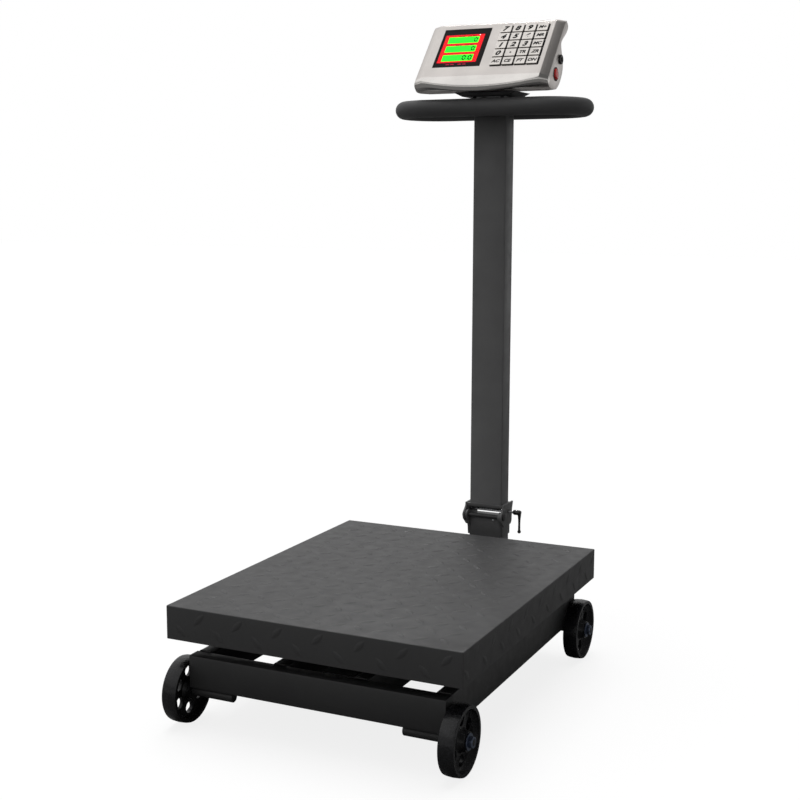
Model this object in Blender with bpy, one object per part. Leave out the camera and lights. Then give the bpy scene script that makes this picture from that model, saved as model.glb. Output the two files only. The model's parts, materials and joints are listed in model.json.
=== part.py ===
"""Mobile platform scale on four iron wheels, with a fold-down mast, a loop handle and a price indicator.

Metres, +Z up. X runs across the scale, +Y from the deck's front edge towards the mast, and the floor
is z = 0. The origin is on the floor, under the middle of the whole object's box.
"""

import math

import bmesh
import bpy
from mathutils import Matrix, Vector

# Clearances
GAP = 0.0003                     # between two pieces that touch
RUNNING_GAP = 0.0001             # round a pin or a journal that turns

# Deck, a folded tray of checker plate
DECK_WIDTH = 0.600
DECK_LENGTH = 0.737
DECK_TOP = 0.234                 # above the floor
SKIRT_HEIGHT = 0.064
DECK_PLATE = 0.0045

# Base frame, welded from rectangular tube
FRAME_WIDTH = 0.523
FRAME_SETBACK = 0.016            # frame behind the deck's front edge, and the same at the back
FRAME_TOP = 0.1378
BEAM_WIDTH = 0.032
BEAM_HEIGHT = 0.064
BEAM_WALL = 0.003
BEAM_CORNER = 0.004
INNER_RAIL_X = 0.0825            # middle of each inner rail
DRAIN_RADIUS = 0.004

# Wheels, stub axles and nuts
WHEEL_RADIUS = 0.0635
WHEEL_WIDTH = 0.030
WHEEL_X = 0.280                  # middle of each wheel
WHEEL_BASE = 0.664
AXLE_SETBACK = 0.0343            # front axle behind the deck's front edge
HUB_RADIUS = 0.018
HUB_WIDTH = 0.033
RIM_INNER = 0.0545
WEB_THICKNESS = 0.007
WEB_HOLES = 6
WEB_HOLE_RADIUS = 0.011
WEB_HOLE_PITCH = 0.0365
AXLE_RADIUS = 0.010
AXLE_INNER_X = 0.175
JOURNAL_RADIUS = 0.008
THREAD_RADIUS = 0.006
AXLE_END_X = 0.308
NUT_FLANGE_RADIUS = 0.015
NUT_FLANGE = 0.0024
NUT_HEIGHT = 0.0076
NUT_ACROSS_FLATS = 0.019
WHEEL_STEPS = 32

# Weighing gear under the deck
CELL_SIZE = (0.060, 0.150, 0.040)
CELL_END = 0.045                 # length of each clamped end
CELL_HOLE_RADIUS = 0.011
CELL_HOLE_SPACING = 0.044
BASE_PLATE = 0.008
SPACER = 0.006
UPPER_TUBE_WIDTH = 0.040
UPPER_TUBE_HEIGHT = 0.025
UPPER_WALL = 0.003
UPPER_PLATE = 0.004
UPPER_SPACER = 0.003
UPPER_RAIL_X = 0.200
UPPER_LENGTH = 0.680
PAD_RADIUS = 0.014
PAD_PITCH_Y = 0.290              # pads in front of and behind the deck's middle
CABLE_BOX = (0.063, 0.080, 0.034)

# Mast, its hinge and its clamp; Y values run from the deck's front edge
MAST_WIDTH = 0.078
MAST_DEPTH = 0.050
MAST_WALL = 0.0025
MAST_CORNER = 0.003
MAST_FRONT = 0.848
COLUMN_BOTTOM = 0.270
COLUMN_TOP = 1.1785
POST_TOP = 0.249
PIN_Y = 0.840
PIN_Z = 0.253
PIN_RADIUS = 0.005
PIN_HEAD_RADIUS = 0.0075
PIN_HEAD = 0.003
EAR_THICKNESS = 0.0045
EAR_LOBE = 0.012
CHEEK_INNER_X = 0.044
CHEEK_THICKNESS = 0.004
CHEEK_LOBE = 0.014
CHEEK_TOP = 0.281
CHEEK_BOTTOM = 0.229
STRIP_BOTTOM = 0.2735
ROD_Y = 0.873
ROD_Z = 0.261
ROD_RADIUS = 0.003
NOTCH_RADIUS = 0.0042
CLAMP_NUT_RADIUS = 0.0065
CLAMP_NUT_HEIGHT = 0.006
LEVER_HUB_RADIUS = 0.006
LEVER_HUB_START = 0.061
LEVER_HUB_END = 0.080
LEVER_ARM_X = 0.0757
LEVER_ARM_LENGTH = 0.045
LEVER_BALL_RADIUS = 0.0042
GUSSET_THICKNESS = 0.006

# Loop handle
RING_LENGTH = 0.463
RING_SPACING = 0.157             # between the two straight bars
RING_TUBE_RADIUS = 0.0195
RING_WALL = 0.002
RING_Z = 1.1818
RING_MIDDLE_Y = 0.864
RING_END_STEPS = 10
RING_SIDES = 12
TOP_PLATE_WIDTH = 0.120
TOP_PLATE = 0.006

# Indicator bracket
TRAY_TOP = 1.2167
TRAY_HEIGHT = 0.0092
TRAY_TOP_HALF = 0.074
TRAY_BOTTOM_HALF = 0.054
TRAY_FRONT = 0.815
TRAY_BACK = 0.905
TRAY_WALL = 0.002
STUD_RADIUS = 0.0045
STUD_X = 0.033
STUD_ROWS = (0.836, 0.894)

# Indicator; v runs up its sloping panel and w runs from the panel into the case
PANEL_LEAN = math.radians(40.7)  # from upright
PANEL_FOOT_Y = 0.7785
PANEL_FOOT_Z = 1.2465
PANEL_HALF = 0.1385
PANEL_TOP_V = 0.161
CASE_HALF = 0.157
CASE_WALL = 0.002
BEVEL_DEPTH = 0.009
COVER_HALF = 0.100
WINDOW_X = (-0.121, -0.008)
WINDOW_V = (0.033, 0.151)
WINDOW_THICKNESS = 0.004
KEY_COLUMNS = 4
KEY_ROWS = 5
KEY_PITCH = (0.0283, 0.0250)
KEY_SIZE = (0.0245, 0.0214)
KEY_FIRST = (0.0280, 0.1435)     # middle of the top left key, in X and v
KEY_PROUD = 0.0026
KEY_DEPTH = 0.0045
KEY_BEVEL = 0.0008
BOARD_HALF = 0.125
BOARD_V = (0.014, 0.148)
BOARD_W = 0.0095
BOARD_THICKNESS = 0.0016
BATTERY_HALF = 0.050
BATTERY_V = (0.022, 0.082)
BATTERY_W = (0.018, 0.054)
SWITCH_Y = 0.834
SWITCH_Z = 1.2505
SWITCH_RADIUS = 0.0125
SWITCH_PROUD = 0.005
SWITCH_DEPTH = 0.006
SWITCH_TILT = math.radians(-7.0)
SWITCH_CLEARANCE = 0.0008
SOCKET_Y = 0.862
SOCKET_Z = 1.284
SOCKET_RADIUS = 0.0095
SOCKET_COLLAR = 0.0105
SOCKET_PROUD = 0.004
SOCKET_DEPTH = 0.010
SOCKET_HOLE = 0.0045

# Where the deck's front edge lies, so that the origin is under the middle of the object's box
FRONT_REACH = AXLE_SETBACK - WHEEL_RADIUS
BACK_REACH = RING_MIDDLE_Y + RING_SPACING / 2 + RING_TUBE_RADIUS
DECK_FRONT = -(FRONT_REACH + BACK_REACH) / 2

PAINT = ((0.045, 0.045, 0.046), 0.45, 0.0)
DECK_PAINT = ((0.055, 0.055, 0.056), 0.42, 0.0)
IRON = ((0.012, 0.012, 0.013), 0.30, 0.4)
DARK_STEEL = ((0.10, 0.12, 0.16), 0.35, 0.8)
ZINC = ((0.62, 0.63, 0.65), 0.30, 1.0)
ALUMINIUM = ((0.70, 0.70, 0.72), 0.35, 1.0)
RUBBER = ((0.02, 0.02, 0.02), 0.8, 0.0)
STAINLESS = ((0.62, 0.60, 0.58), 0.25, 1.0)
DARK_PLASTIC = ((0.02, 0.021, 0.025), 0.45, 0.0)
KEY_PLASTIC = ((0.66, 0.64, 0.62), 0.4, 0.2)
WINDOW_BLACK = ((0.01, 0.01, 0.01), 0.15, 0.0)
BOARD_GREEN = ((0.02, 0.16, 0.06), 0.5, 0.0)
BATTERY_GREY = ((0.06, 0.06, 0.07), 0.5, 0.0)
SWITCH_RED = ((0.65, 0.02, 0.015), 0.25, 0.0)


def clear_scene():
    """Empty the scene."""
    for old in list(bpy.data.objects):
        bpy.data.objects.remove(old, do_unlink=True)


def material(name, finish):
    """A Principled material: finish is colour, roughness and metallic."""
    colour, roughness, metallic = finish
    made = bpy.data.materials.new(name)
    made.use_nodes = True
    shader = made.node_tree.nodes["Principled BSDF"]
    shader.inputs["Base Color"].default_value = (*colour, 1.0)
    shader.inputs["Roughness"].default_value = roughness
    shader.inputs["Metallic"].default_value = metallic
    made.diffuse_color = (*colour, 1.0)
    return made


def deck_y(y):
    """Y in the object's frame of a place that is y behind the deck's front edge."""
    return DECK_FRONT + y


# Mesh helpers --------------------------------------------------------------------------------


def add_object(name, bm, finish, origin=(0.0, 0.0, 0.0)):
    """Close bm into an object whose origin is at the given place."""
    bmesh.ops.remove_doubles(bm, verts=bm.verts, dist=1e-6)
    bmesh.ops.recalc_face_normals(bm, faces=bm.faces)
    bmesh.ops.translate(bm, vec=-Vector(origin), verts=bm.verts)
    mesh = bpy.data.meshes.new(name)
    bm.to_mesh(mesh)
    bm.free()
    obj = bpy.data.objects.new(name, mesh)
    obj.location = origin
    bpy.context.scene.collection.objects.link(obj)
    if finish is not None:
        mesh.materials.append(material(name, finish))
    return obj


def smooth(obj, degrees=35.0):
    """Shade a piece smooth where its faces meet at less than an angle."""
    obj.data.shade_smooth()
    obj.data.set_sharp_from_angle(angle=math.radians(degrees))
    return obj


def combine(target, tool_bm, operation, label):
    """Boolean target with the closed mesh tool_bm, which stays as a hidden helper."""
    tool = add_object(f"{target.name}_{label}", tool_bm, None)
    tool.display_type = "WIRE"
    tool.hide_render = True
    boolean = target.modifiers.new(label, "BOOLEAN")
    boolean.operation = operation
    boolean.solver = "EXACT"
    boolean.object = tool
    return target


def box(low, high, bm=None):
    """A box from its lowest to its highest corner, added to bm."""
    bm = bm or bmesh.new()
    size = [b - a for a, b in zip(low, high)]
    middle = [(a + b) / 2 for a, b in zip(low, high)]
    bmesh.ops.create_cube(bm, size=1.0, matrix=Matrix.Translation(middle) @ Matrix.Diagonal((*size, 1.0)))
    return bm


def to_axis(axis, along, across, up):
    """A point from its place along the axis and the two directions across it."""
    return {"X": (along, across, up), "Y": (across, along, up), "Z": (across, up, along)}[axis]


def turned(profile, axis, centre, steps, bm=None):
    """Turn a profile of (radius, place along the axis) round an axis through centre.

    The profile is a closed loop, or an open line whose two ends are at radius 0.
    """
    bm = bm or bmesh.new()
    rings = []
    for radius, along in profile:
        count = steps if radius > 0 else 1
        ring = []
        for step in range(count):
            angle = math.tau * step / steps
            place = to_axis(axis, along, radius * math.cos(angle), radius * math.sin(angle))
            ring.append(bm.verts.new(Vector(place) + Vector(centre)))
        rings.append(ring)
    closed = profile[0][0] > 0
    pairs = list(zip(rings, rings[1:] + rings[:1])) if closed else list(zip(rings, rings[1:]))
    for first, second in pairs:
        for step in range(steps):
            after = (step + 1) % steps
            if len(first) == 1:
                bm.faces.new((first[0], second[step], second[after]))
            elif len(second) == 1:
                bm.faces.new((first[step], second[0], first[after]))
            else:
                bm.faces.new((first[step], first[after], second[after], second[step]))
    return bm


def cylinder(radius, start, end, axis, centre, steps, bm=None):
    """A cylinder along an axis, from start to end."""
    return turned([(0, start), (radius, start), (radius, end), (0, end)], axis, centre, steps, bm)


def prism(outline, axis, start, end, bm=None):
    """Extrude an outline of (across, up) points along an axis."""
    bm = bm or bmesh.new()
    first = [bm.verts.new(to_axis(axis, start, a, b)) for a, b in outline]
    last = [bm.verts.new(to_axis(axis, end, a, b)) for a, b in outline]
    bm.faces.new(first)
    bm.faces.new(last)
    for i, vert in enumerate(first):
        j = (i + 1) % len(first)
        bm.faces.new((vert, first[j], last[j], last[i]))
    return bm


def hollow_prism(outer, inner, axis, start, end):
    """A tube between two outlines that have the same number of points, open at both ends."""
    bm = bmesh.new()
    loops = []
    for outline, along in ((outer, start), (outer, end), (inner, end), (inner, start)):
        loops.append([bm.verts.new(to_axis(axis, along, a, b)) for a, b in outline])
    for first, second in zip(loops, loops[1:] + loops[:1]):
        for i, vert in enumerate(first):
            j = (i + 1) % len(first)
            bm.faces.new((vert, first[j], second[j], second[i]))
    return bm


def arc(centre, radius, start, end, steps):
    """Points along an arc; angles in degrees, anticlockwise from the first axis."""
    points = []
    for step in range(steps + 1):
        angle = math.radians(start + (end - start) * step / steps)
        points.append((centre[0] + radius * math.cos(angle), centre[1] + radius * math.sin(angle)))
    return points


def rounded_rectangle(middle, width, height, radius, steps=2):
    """A rectangle's outline with round corners."""
    points = []
    for sx, sy, start in ((1, 1, 0), (-1, 1, 90), (-1, -1, 180), (1, -1, 270)):
        corner = (middle[0] + sx * (width / 2 - radius), middle[1] + sy * (height / 2 - radius))
        points += arc(corner, radius, start, start + 90, steps)
    return points


def tube_outlines(middle, width, height, wall, radius):
    """The outer and inner outlines of a rectangular tube."""
    outer = rounded_rectangle(middle, width, height, radius)
    inner = rounded_rectangle(middle, width - 2 * wall, height - 2 * wall, max(radius - wall, 0.0005))
    return outer, inner


# Base frame ----------------------------------------------------------------------------------


def cross_beam(name, front):
    """A capped tube across the frame, with a drain hole in its underside near each end."""
    middle = (deck_y(front + BEAM_WIDTH / 2), FRAME_TOP - BEAM_HEIGHT / 2)
    half = FRAME_WIDTH / 2
    outline = rounded_rectangle(middle, BEAM_WIDTH, BEAM_HEIGHT, BEAM_CORNER)
    beam = add_object(name, prism(outline, "X", -half, half), PAINT)
    inside = rounded_rectangle(middle, BEAM_WIDTH - 2 * BEAM_WALL, BEAM_HEIGHT - 2 * BEAM_WALL, 0.001)
    combine(beam, prism(inside, "X", -half + BEAM_WALL, half - BEAM_WALL), "DIFFERENCE", "hollow")
    drains = bmesh.new()
    bottom = FRAME_TOP - BEAM_HEIGHT
    for side in (-1, 1):
        place = (side * half / 3, middle[0], 0)
        cylinder(DRAIN_RADIUS, bottom - BEAM_WALL, bottom + 2 * BEAM_WALL, "Z", place, 8, drains)
    combine(beam, drains, "DIFFERENCE", "drains")
    return beam


def long_rail(name, x):
    """A tube that runs from the front beam to the rear beam."""
    start = deck_y(FRAME_SETBACK + BEAM_WIDTH + GAP)
    end = deck_y(DECK_LENGTH - FRAME_SETBACK - BEAM_WIDTH - GAP)
    middle = (x, FRAME_TOP - BEAM_HEIGHT / 2)
    outer, inner = tube_outlines(middle, BEAM_WIDTH, BEAM_HEIGHT, BEAM_WALL, BEAM_CORNER)
    return add_object(name, hollow_prism(outer, inner, "Y", start, end), PAINT)


def base_frame():
    """The welded base: two beams across and four rails along, each its own tube."""
    cross_beam("frame_front_beam", FRAME_SETBACK)
    cross_beam("frame_rear_beam", DECK_LENGTH - FRAME_SETBACK - BEAM_WIDTH)
    outer_x = (FRAME_WIDTH - BEAM_WIDTH) / 2
    for side, label in ((-1, "left"), (1, "right")):
        long_rail(f"frame_{label}_rail", side * outer_x)
        long_rail(f"frame_inner_{label}_rail", side * INNER_RAIL_X)


# Wheels --------------------------------------------------------------------------------------


def wheel_profile():
    """The section of a cast wheel as (radius, distance from its middle plane)."""
    half_hub = HUB_WIDTH / 2
    half_rim = WHEEL_WIDTH / 2
    half_web = WEB_THICKNESS / 2
    draft = 0.0015
    outer_side = [
        (WHEEL_RADIUS, half_rim),
        (RIM_INNER, half_rim),
        (RIM_INNER - draft, half_web),
        (HUB_RADIUS + draft, half_web),
        (HUB_RADIUS, half_hub),
        (JOURNAL_RADIUS + RUNNING_GAP, half_hub),
    ]
    return outer_side + [(radius, -along) for radius, along in reversed(outer_side)]


def wheel(name, side, y):
    """A cast wheel with a rim, a hub and holes in its web."""
    centre = (side * WHEEL_X, y, WHEEL_RADIUS)
    made = add_object(name, turned(wheel_profile(), "X", centre, WHEEL_STEPS), IRON, centre)
    holes = bmesh.new()
    for index in range(WEB_HOLES):
        angle = math.tau * (index + 0.5) / WEB_HOLES
        dy, dz = WEB_HOLE_PITCH * math.cos(angle), WEB_HOLE_PITCH * math.sin(angle)
        place = (centre[0], y + dy, WHEEL_RADIUS + dz)
        cylinder(WEB_HOLE_RADIUS, -WEB_THICKNESS, WEB_THICKNESS, "X", place, 12, holes)
    combine(made, holes, "DIFFERENCE", "web_holes")
    return smooth(made)


def axle(name, side, y):
    """A stub axle welded under the frame: bar, journal in the wheel, then thread."""
    shoulder = WHEEL_X - HUB_WIDTH / 2 - 0.0005
    thread_start = WHEEL_X + HUB_WIDTH / 2 + 0.0002
    chamfer = 0.001
    profile = [
        (0, AXLE_INNER_X),
        (AXLE_RADIUS, AXLE_INNER_X),
        (AXLE_RADIUS, shoulder),
        (JOURNAL_RADIUS, shoulder),
        (JOURNAL_RADIUS, thread_start),
        (THREAD_RADIUS, thread_start),
        (THREAD_RADIUS, AXLE_END_X - chamfer),
        (THREAD_RADIUS - chamfer, AXLE_END_X),
        (0, AXLE_END_X),
    ]
    profile = [(radius, side * along) for radius, along in profile]
    return smooth(add_object(name, turned(profile, "X", (0, y, WHEEL_RADIUS), 16), PAINT))


def axle_nut(name, side, y):
    """A flanged nut that holds the wheel on its axle."""
    flange_start = WHEEL_X + HUB_WIDTH / 2 + 2 * GAP
    nut_end = flange_start + NUT_FLANGE + NUT_HEIGHT
    centre = (0, y, WHEEL_RADIUS)
    flange_end = flange_start + NUT_FLANGE
    flange = cylinder(NUT_FLANGE_RADIUS, side * flange_start, side * flange_end, "X", centre, 24)
    made = add_object(name, flange, DARK_STEEL)
    corner = NUT_ACROSS_FLATS / math.sqrt(3)
    start = flange_start + NUT_FLANGE / 2
    combine(made, cylinder(corner, side * start, side * nut_end, "X", centre, 6), "UNION", "hexagon")
    bore = THREAD_RADIUS + GAP
    reach = (side * (flange_start - 0.005), side * (nut_end + 0.005))
    combine(made, cylinder(bore, *reach, "X", centre, 12), "DIFFERENCE", "bore")
    return made


def running_gear():
    """The four axles, wheels and nuts."""
    rows = (("front", deck_y(AXLE_SETBACK)), ("rear", deck_y(AXLE_SETBACK + WHEEL_BASE)))
    for row, y in rows:
        for side, label in ((-1, "left"), (1, "right")):
            axle(f"axle_{row}_{label}", side, y)
            wheel(f"wheel_{row}_{label}", side, y)
            axle_nut(f"axle_nut_{row}_{label}", side, y)


# Weighing gear -------------------------------------------------------------------------------


def cell_middle_y():
    """The load cell's middle, in Y."""
    return deck_y(DECK_LENGTH / 2)


def cell_bottom():
    """The height of the load cell's underside."""
    return FRAME_TOP + GAP + BASE_PLATE + SPACER + GAP


def cell_base_plate():
    """A plate across the inner rails, with a raised pad under the fixed end of the load cell."""
    bottom = FRAME_TOP + GAP
    top = bottom + BASE_PLATE
    middle = cell_middle_y()
    half_length = CELL_SIZE[1] / 2
    reach = INNER_RAIL_X + BEAM_WIDTH / 2
    plate = box((-reach, middle - half_length - 0.010, bottom), (reach, middle + half_length + 0.010, top))
    made = add_object("cell_base_plate", plate, PAINT)
    pad_low = (-CELL_SIZE[0] / 2, middle - half_length, top - 0.001)
    pad_high = (CELL_SIZE[0] / 2, middle - half_length + CELL_END, top + SPACER)
    return combine(made, box(pad_low, pad_high), "UNION", "pad")


def load_cell():
    """A single-point load cell: a block thinned by two joined holes across its middle."""
    middle = cell_middle_y()
    bottom = cell_bottom()
    low = (-CELL_SIZE[0] / 2, middle - CELL_SIZE[1] / 2, bottom)
    high = (CELL_SIZE[0] / 2, middle + CELL_SIZE[1] / 2, bottom + CELL_SIZE[2])
    made = add_object("load_cell", box(low, high), ALUMINIUM)
    height = bottom + CELL_SIZE[2] / 2
    slot = 0.005
    spread = CELL_HOLE_SPACING / 2
    neck = math.degrees(math.asin(slot / CELL_HOLE_RADIUS))
    outline = arc((middle - spread, height), CELL_HOLE_RADIUS, neck, 360 - neck, 14)
    outline += arc((middle + spread, height), CELL_HOLE_RADIUS, -180 + neck, 180 - neck, 14)
    reach = CELL_SIZE[0]
    return combine(made, prism(outline, "X", -reach, reach), "DIFFERENCE", "slot")


def upper_frame():
    """The frame that carries the deck: channels open below, on a plate over the cell's free end."""
    plate_bottom = cell_bottom() + CELL_SIZE[2] + GAP
    grid_bottom = plate_bottom + UPPER_SPACER + UPPER_PLATE
    top = grid_bottom + UPPER_TUBE_HEIGHT
    middle = cell_middle_y()
    half_width = UPPER_TUBE_WIDTH / 2
    half_length = UPPER_LENGTH / 2
    rails = box((-UPPER_RAIL_X - half_width, middle - half_length, grid_bottom),
                (-UPPER_RAIL_X + half_width, middle + half_length, top))
    made = add_object("upper_frame", rails, PAINT)
    right = box((UPPER_RAIL_X - half_width, middle - half_length, grid_bottom),
                (UPPER_RAIL_X + half_width, middle + half_length, top))
    combine(made, right, "UNION", "right_rail")
    cell_ends = (CELL_SIZE[1] - CELL_END) / 2
    end_member = half_length - half_width
    members = (-end_member, -cell_ends, cell_ends, end_member)
    across = bmesh.new()
    for y in members:
        box((-UPPER_RAIL_X, middle + y - half_width, grid_bottom),
            (UPPER_RAIL_X, middle + y + half_width, top), across)
    combine(made, across, "UNION", "members")
    floor = grid_bottom - 0.001
    inset = half_width - UPPER_WALL
    troughs = bmesh.new()
    for side in (-1, 1):
        x = side * UPPER_RAIL_X
        box((x - inset, middle - half_length + UPPER_WALL, floor),
            (x + inset, middle + half_length - UPPER_WALL, top - UPPER_WALL), troughs)
    combine(made, troughs, "DIFFERENCE", "rail_troughs")
    reach = UPPER_RAIL_X - half_width - UPPER_WALL
    member_troughs = bmesh.new()
    for y in members:
        low = (-reach, middle + y - inset, floor)
        box(low, (reach, middle + y + inset, top - UPPER_WALL), member_troughs)
    combine(made, member_troughs, "DIFFERENCE", "member_troughs")
    plate_reach = CELL_SIZE[0] / 2 + 0.015
    plate_end = cell_ends + half_width
    plate = box((-plate_reach, middle - plate_end, grid_bottom - UPPER_PLATE),
                (plate_reach, middle + plate_end, grid_bottom + 0.001))
    combine(made, plate, "UNION", "plate")
    spacer = box((-CELL_SIZE[0] / 2, middle + CELL_SIZE[1] / 2 - CELL_END, plate_bottom),
                 (CELL_SIZE[0] / 2, middle + CELL_SIZE[1] / 2, grid_bottom - UPPER_PLATE / 2))
    combine(made, spacer, "UNION", "spacer")
    return made


def upper_frame_top():
    """The height of the upper frame's top."""
    return cell_bottom() + CELL_SIZE[2] + GAP + UPPER_SPACER + UPPER_PLATE + UPPER_TUBE_HEIGHT


def deck_pads():
    """Rubber pads on the upper frame's rails, under the deck."""
    bottom = upper_frame_top() + GAP
    top = DECK_TOP - DECK_PLATE - GAP
    for row, dy in (("front", -PAD_PITCH_Y), ("rear", PAD_PITCH_Y)):
        for side, label in ((-1, "left"), (1, "right")):
            centre = (side * UPPER_RAIL_X, cell_middle_y() + dy, 0)
            pad = cylinder(PAD_RADIUS, bottom, top, "Z", centre, 16)
            smooth(add_object(f"deck_pad_{row}_{label}", pad, RUBBER))


def deck():
    """The deck plate, a tray turned upside down, open below."""
    half = DECK_WIDTH / 2
    front, back = deck_y(0), deck_y(DECK_LENGTH)
    outside = box((-half, front, DECK_TOP - SKIRT_HEIGHT), (half, back, DECK_TOP))
    made = add_object("deck_plate", outside, DECK_PAINT)
    low = (-half + DECK_PLATE, front + DECK_PLATE, DECK_TOP - 2 * SKIRT_HEIGHT)
    high = (half - DECK_PLATE, back - DECK_PLATE, DECK_TOP - DECK_PLATE)
    return combine(made, box(low, high), "DIFFERENCE", "hollow")


def cable_box():
    """The small box beside the right inner rail, its lid flush with the frame's top."""
    right = INNER_RAIL_X - BEAM_WIDTH / 2 - GAP
    front = deck_y(FRAME_SETBACK + BEAM_WIDTH + GAP)
    low = (right - CABLE_BOX[0], front, FRAME_TOP - CABLE_BOX[2])
    high = (right, front + CABLE_BOX[1], FRAME_TOP)
    return add_object("cable_box", box(low, high), PAINT)


# Mast ----------------------------------------------------------------------------------------


def ear_outline():
    """The post's ear, in Y and Z: a lobe round the pin, and a saddle for the clamp rod behind it."""
    pin = (deck_y(PIN_Y), PIN_Z)
    rod = (deck_y(ROD_Y), ROD_Z)
    foot = PIN_Z - 0.048
    rear = deck_y(MAST_FRONT + MAST_DEPTH - 0.003)
    horn_top = ROD_Z + 0.007
    points = [(rear, foot), (rear, horn_top), (rod[0] + NOTCH_RADIUS, horn_top)]
    points += arc(rod, NOTCH_RADIUS, 0, -180, 6)
    points += [(rod[0] - 0.009, ROD_Z)]
    points += arc(pin, EAR_LOBE, 45, 240, 9)
    points += [(deck_y(MAST_FRONT - 0.002), PIN_Z - 0.027), (deck_y(MAST_FRONT + 0.001), foot)]
    return points


def mast_base():
    """The arm behind the base frame and the post on it, with two ears for the hinge."""
    half = MAST_WIDTH / 2
    arm_front = deck_y(DECK_LENGTH - FRAME_SETBACK + GAP)
    front, back = deck_y(MAST_FRONT), deck_y(MAST_FRONT + MAST_DEPTH)
    bottom = FRAME_TOP - BEAM_HEIGHT
    wall = BEAM_WALL
    outline = [(arm_front, bottom), (back, bottom), (back, POST_TOP), (front, POST_TOP),
               (front, FRAME_TOP), (arm_front, FRAME_TOP)]
    made = add_object("mast_base", prism(outline, "X", -half, half), PAINT)
    inside = [(arm_front + wall, bottom + wall), (back - wall, bottom + wall),
              (back - wall, POST_TOP - wall), (front + wall, POST_TOP - wall),
              (front + wall, FRAME_TOP - wall), (arm_front + wall, FRAME_TOP - wall)]
    combine(made, prism(inside, "X", -half + wall, half - wall), "DIFFERENCE", "hollow")
    drain = cylinder(DRAIN_RADIUS, bottom - wall, bottom + 2 * wall, "Z", (0, (arm_front + front) / 2, 0), 8)
    combine(made, drain, "DIFFERENCE", "drain")
    ears = bmesh.new()
    for side in (-1, 1):
        prism(ear_outline(), "X", side * (half - 0.001), side * (half + EAR_THICKNESS), ears)
    combine(made, ears, "UNION", "ears")
    pin_hole = cylinder(PIN_RADIUS + 1.5 * RUNNING_GAP, -0.06, 0.06, "X", (0, deck_y(PIN_Y), PIN_Z), 16)
    combine(made, pin_hole, "DIFFERENCE", "pin_hole")
    gusset = [(front + 0.001, FRAME_TOP - 0.001), (front + 0.001, PIN_Z - 0.055),
              (front - 0.055, FRAME_TOP - 0.001)]
    half_gusset = GUSSET_THICKNESS / 2
    combine(made, prism(gusset, "X", -half_gusset, half_gusset), "UNION", "gusset")
    return made


def hinge_pin():
    """The pin the column folds on, with a head at each end."""
    reach = CHEEK_INNER_X + CHEEK_THICKNESS + GAP
    profile = [
        (0, -reach - PIN_HEAD),
        (PIN_HEAD_RADIUS, -reach - PIN_HEAD),
        (PIN_HEAD_RADIUS, -reach),
        (PIN_RADIUS, -reach),
        (PIN_RADIUS, reach),
        (PIN_HEAD_RADIUS, reach),
        (PIN_HEAD_RADIUS, reach + PIN_HEAD),
        (0, reach + PIN_HEAD),
    ]
    return smooth(add_object("hinge_pin", turned(profile, "X", (0, deck_y(PIN_Y), PIN_Z), 16), PAINT))


def cheek_outline():
    """A cheek of the column's hinge bracket, in Y and Z."""
    pin = (deck_y(PIN_Y), PIN_Z)
    strip_front = deck_y(MAST_FRONT - CHEEK_THICKNESS - 0.0015)
    points = [(deck_y(MAST_FRONT + MAST_DEPTH + 0.006), CHEEK_TOP), (strip_front, CHEEK_TOP),
              (strip_front, CHEEK_TOP - 0.006), (strip_front - 0.003, CHEEK_TOP - 0.010)]
    points += arc(pin, CHEEK_LOBE, 118, 242, 8)
    back = deck_y(MAST_FRONT + MAST_DEPTH)
    points += [(deck_y(MAST_FRONT - 0.001), CHEEK_BOTTOM), (back - 0.008, CHEEK_BOTTOM)]
    points += [(back - 0.002, CHEEK_BOTTOM + 0.007), (back, ROD_Z + 0.002)]
    return points


def column():
    """The column tube with its hinge bracket: a front strip, two cheeks, packers and a weld nut."""
    pin = (0, deck_y(PIN_Y), PIN_Z)
    middle = (0, deck_y(MAST_FRONT + MAST_DEPTH / 2))
    outer, inner = tube_outlines(middle, MAST_WIDTH, MAST_DEPTH, MAST_WALL, MAST_CORNER)
    made = add_object("column", hollow_prism(outer, inner, "Z", COLUMN_BOTTOM, COLUMN_TOP), PAINT, pin)
    cheek_outer = CHEEK_INNER_X + CHEEK_THICKNESS
    cheeks = bmesh.new()
    for side in (-1, 1):
        prism(cheek_outline(), "X", side * CHEEK_INNER_X, side * cheek_outer, cheeks)
    front = deck_y(MAST_FRONT)
    back = deck_y(MAST_FRONT + MAST_DEPTH)
    packers = bmesh.new()
    for side in (-1, 1):
        low_x, high_x = sorted((side * (MAST_WIDTH / 2 - 0.001), side * (CHEEK_INNER_X + 0.001)))
        box((low_x, front + 0.006, STRIP_BOTTOM), (high_x, back - 0.004, CHEEK_TOP - 0.0005), packers)
    combine(made, packers, "UNION", "packers")
    combine(made, cheeks, "UNION", "cheeks")
    strip = box((-CHEEK_INNER_X - 0.001, front - CHEEK_THICKNESS - 0.0005, STRIP_BOTTOM),
                (CHEEK_INNER_X + 0.001, front + 0.001, CHEEK_TOP - 0.001))
    combine(made, strip, "UNION", "strip")
    rod = (0, deck_y(ROD_Y), ROD_Z)
    nut_start, nut_end = -cheek_outer + 0.001, -cheek_outer - CLAMP_NUT_HEIGHT
    combine(made, cylinder(CLAMP_NUT_RADIUS, nut_start, nut_end, "X", rod, 6), "UNION", "weld_nut")
    holes = cylinder(PIN_RADIUS + 1.5 * RUNNING_GAP, -0.06, 0.06, "X", pin, 16)
    cylinder(ROD_RADIUS + 2 * RUNNING_GAP, -0.06, 0.06, "X", rod, 12, holes)
    combine(made, holes, "DIFFERENCE", "pin_and_rod_holes")
    return made


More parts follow.
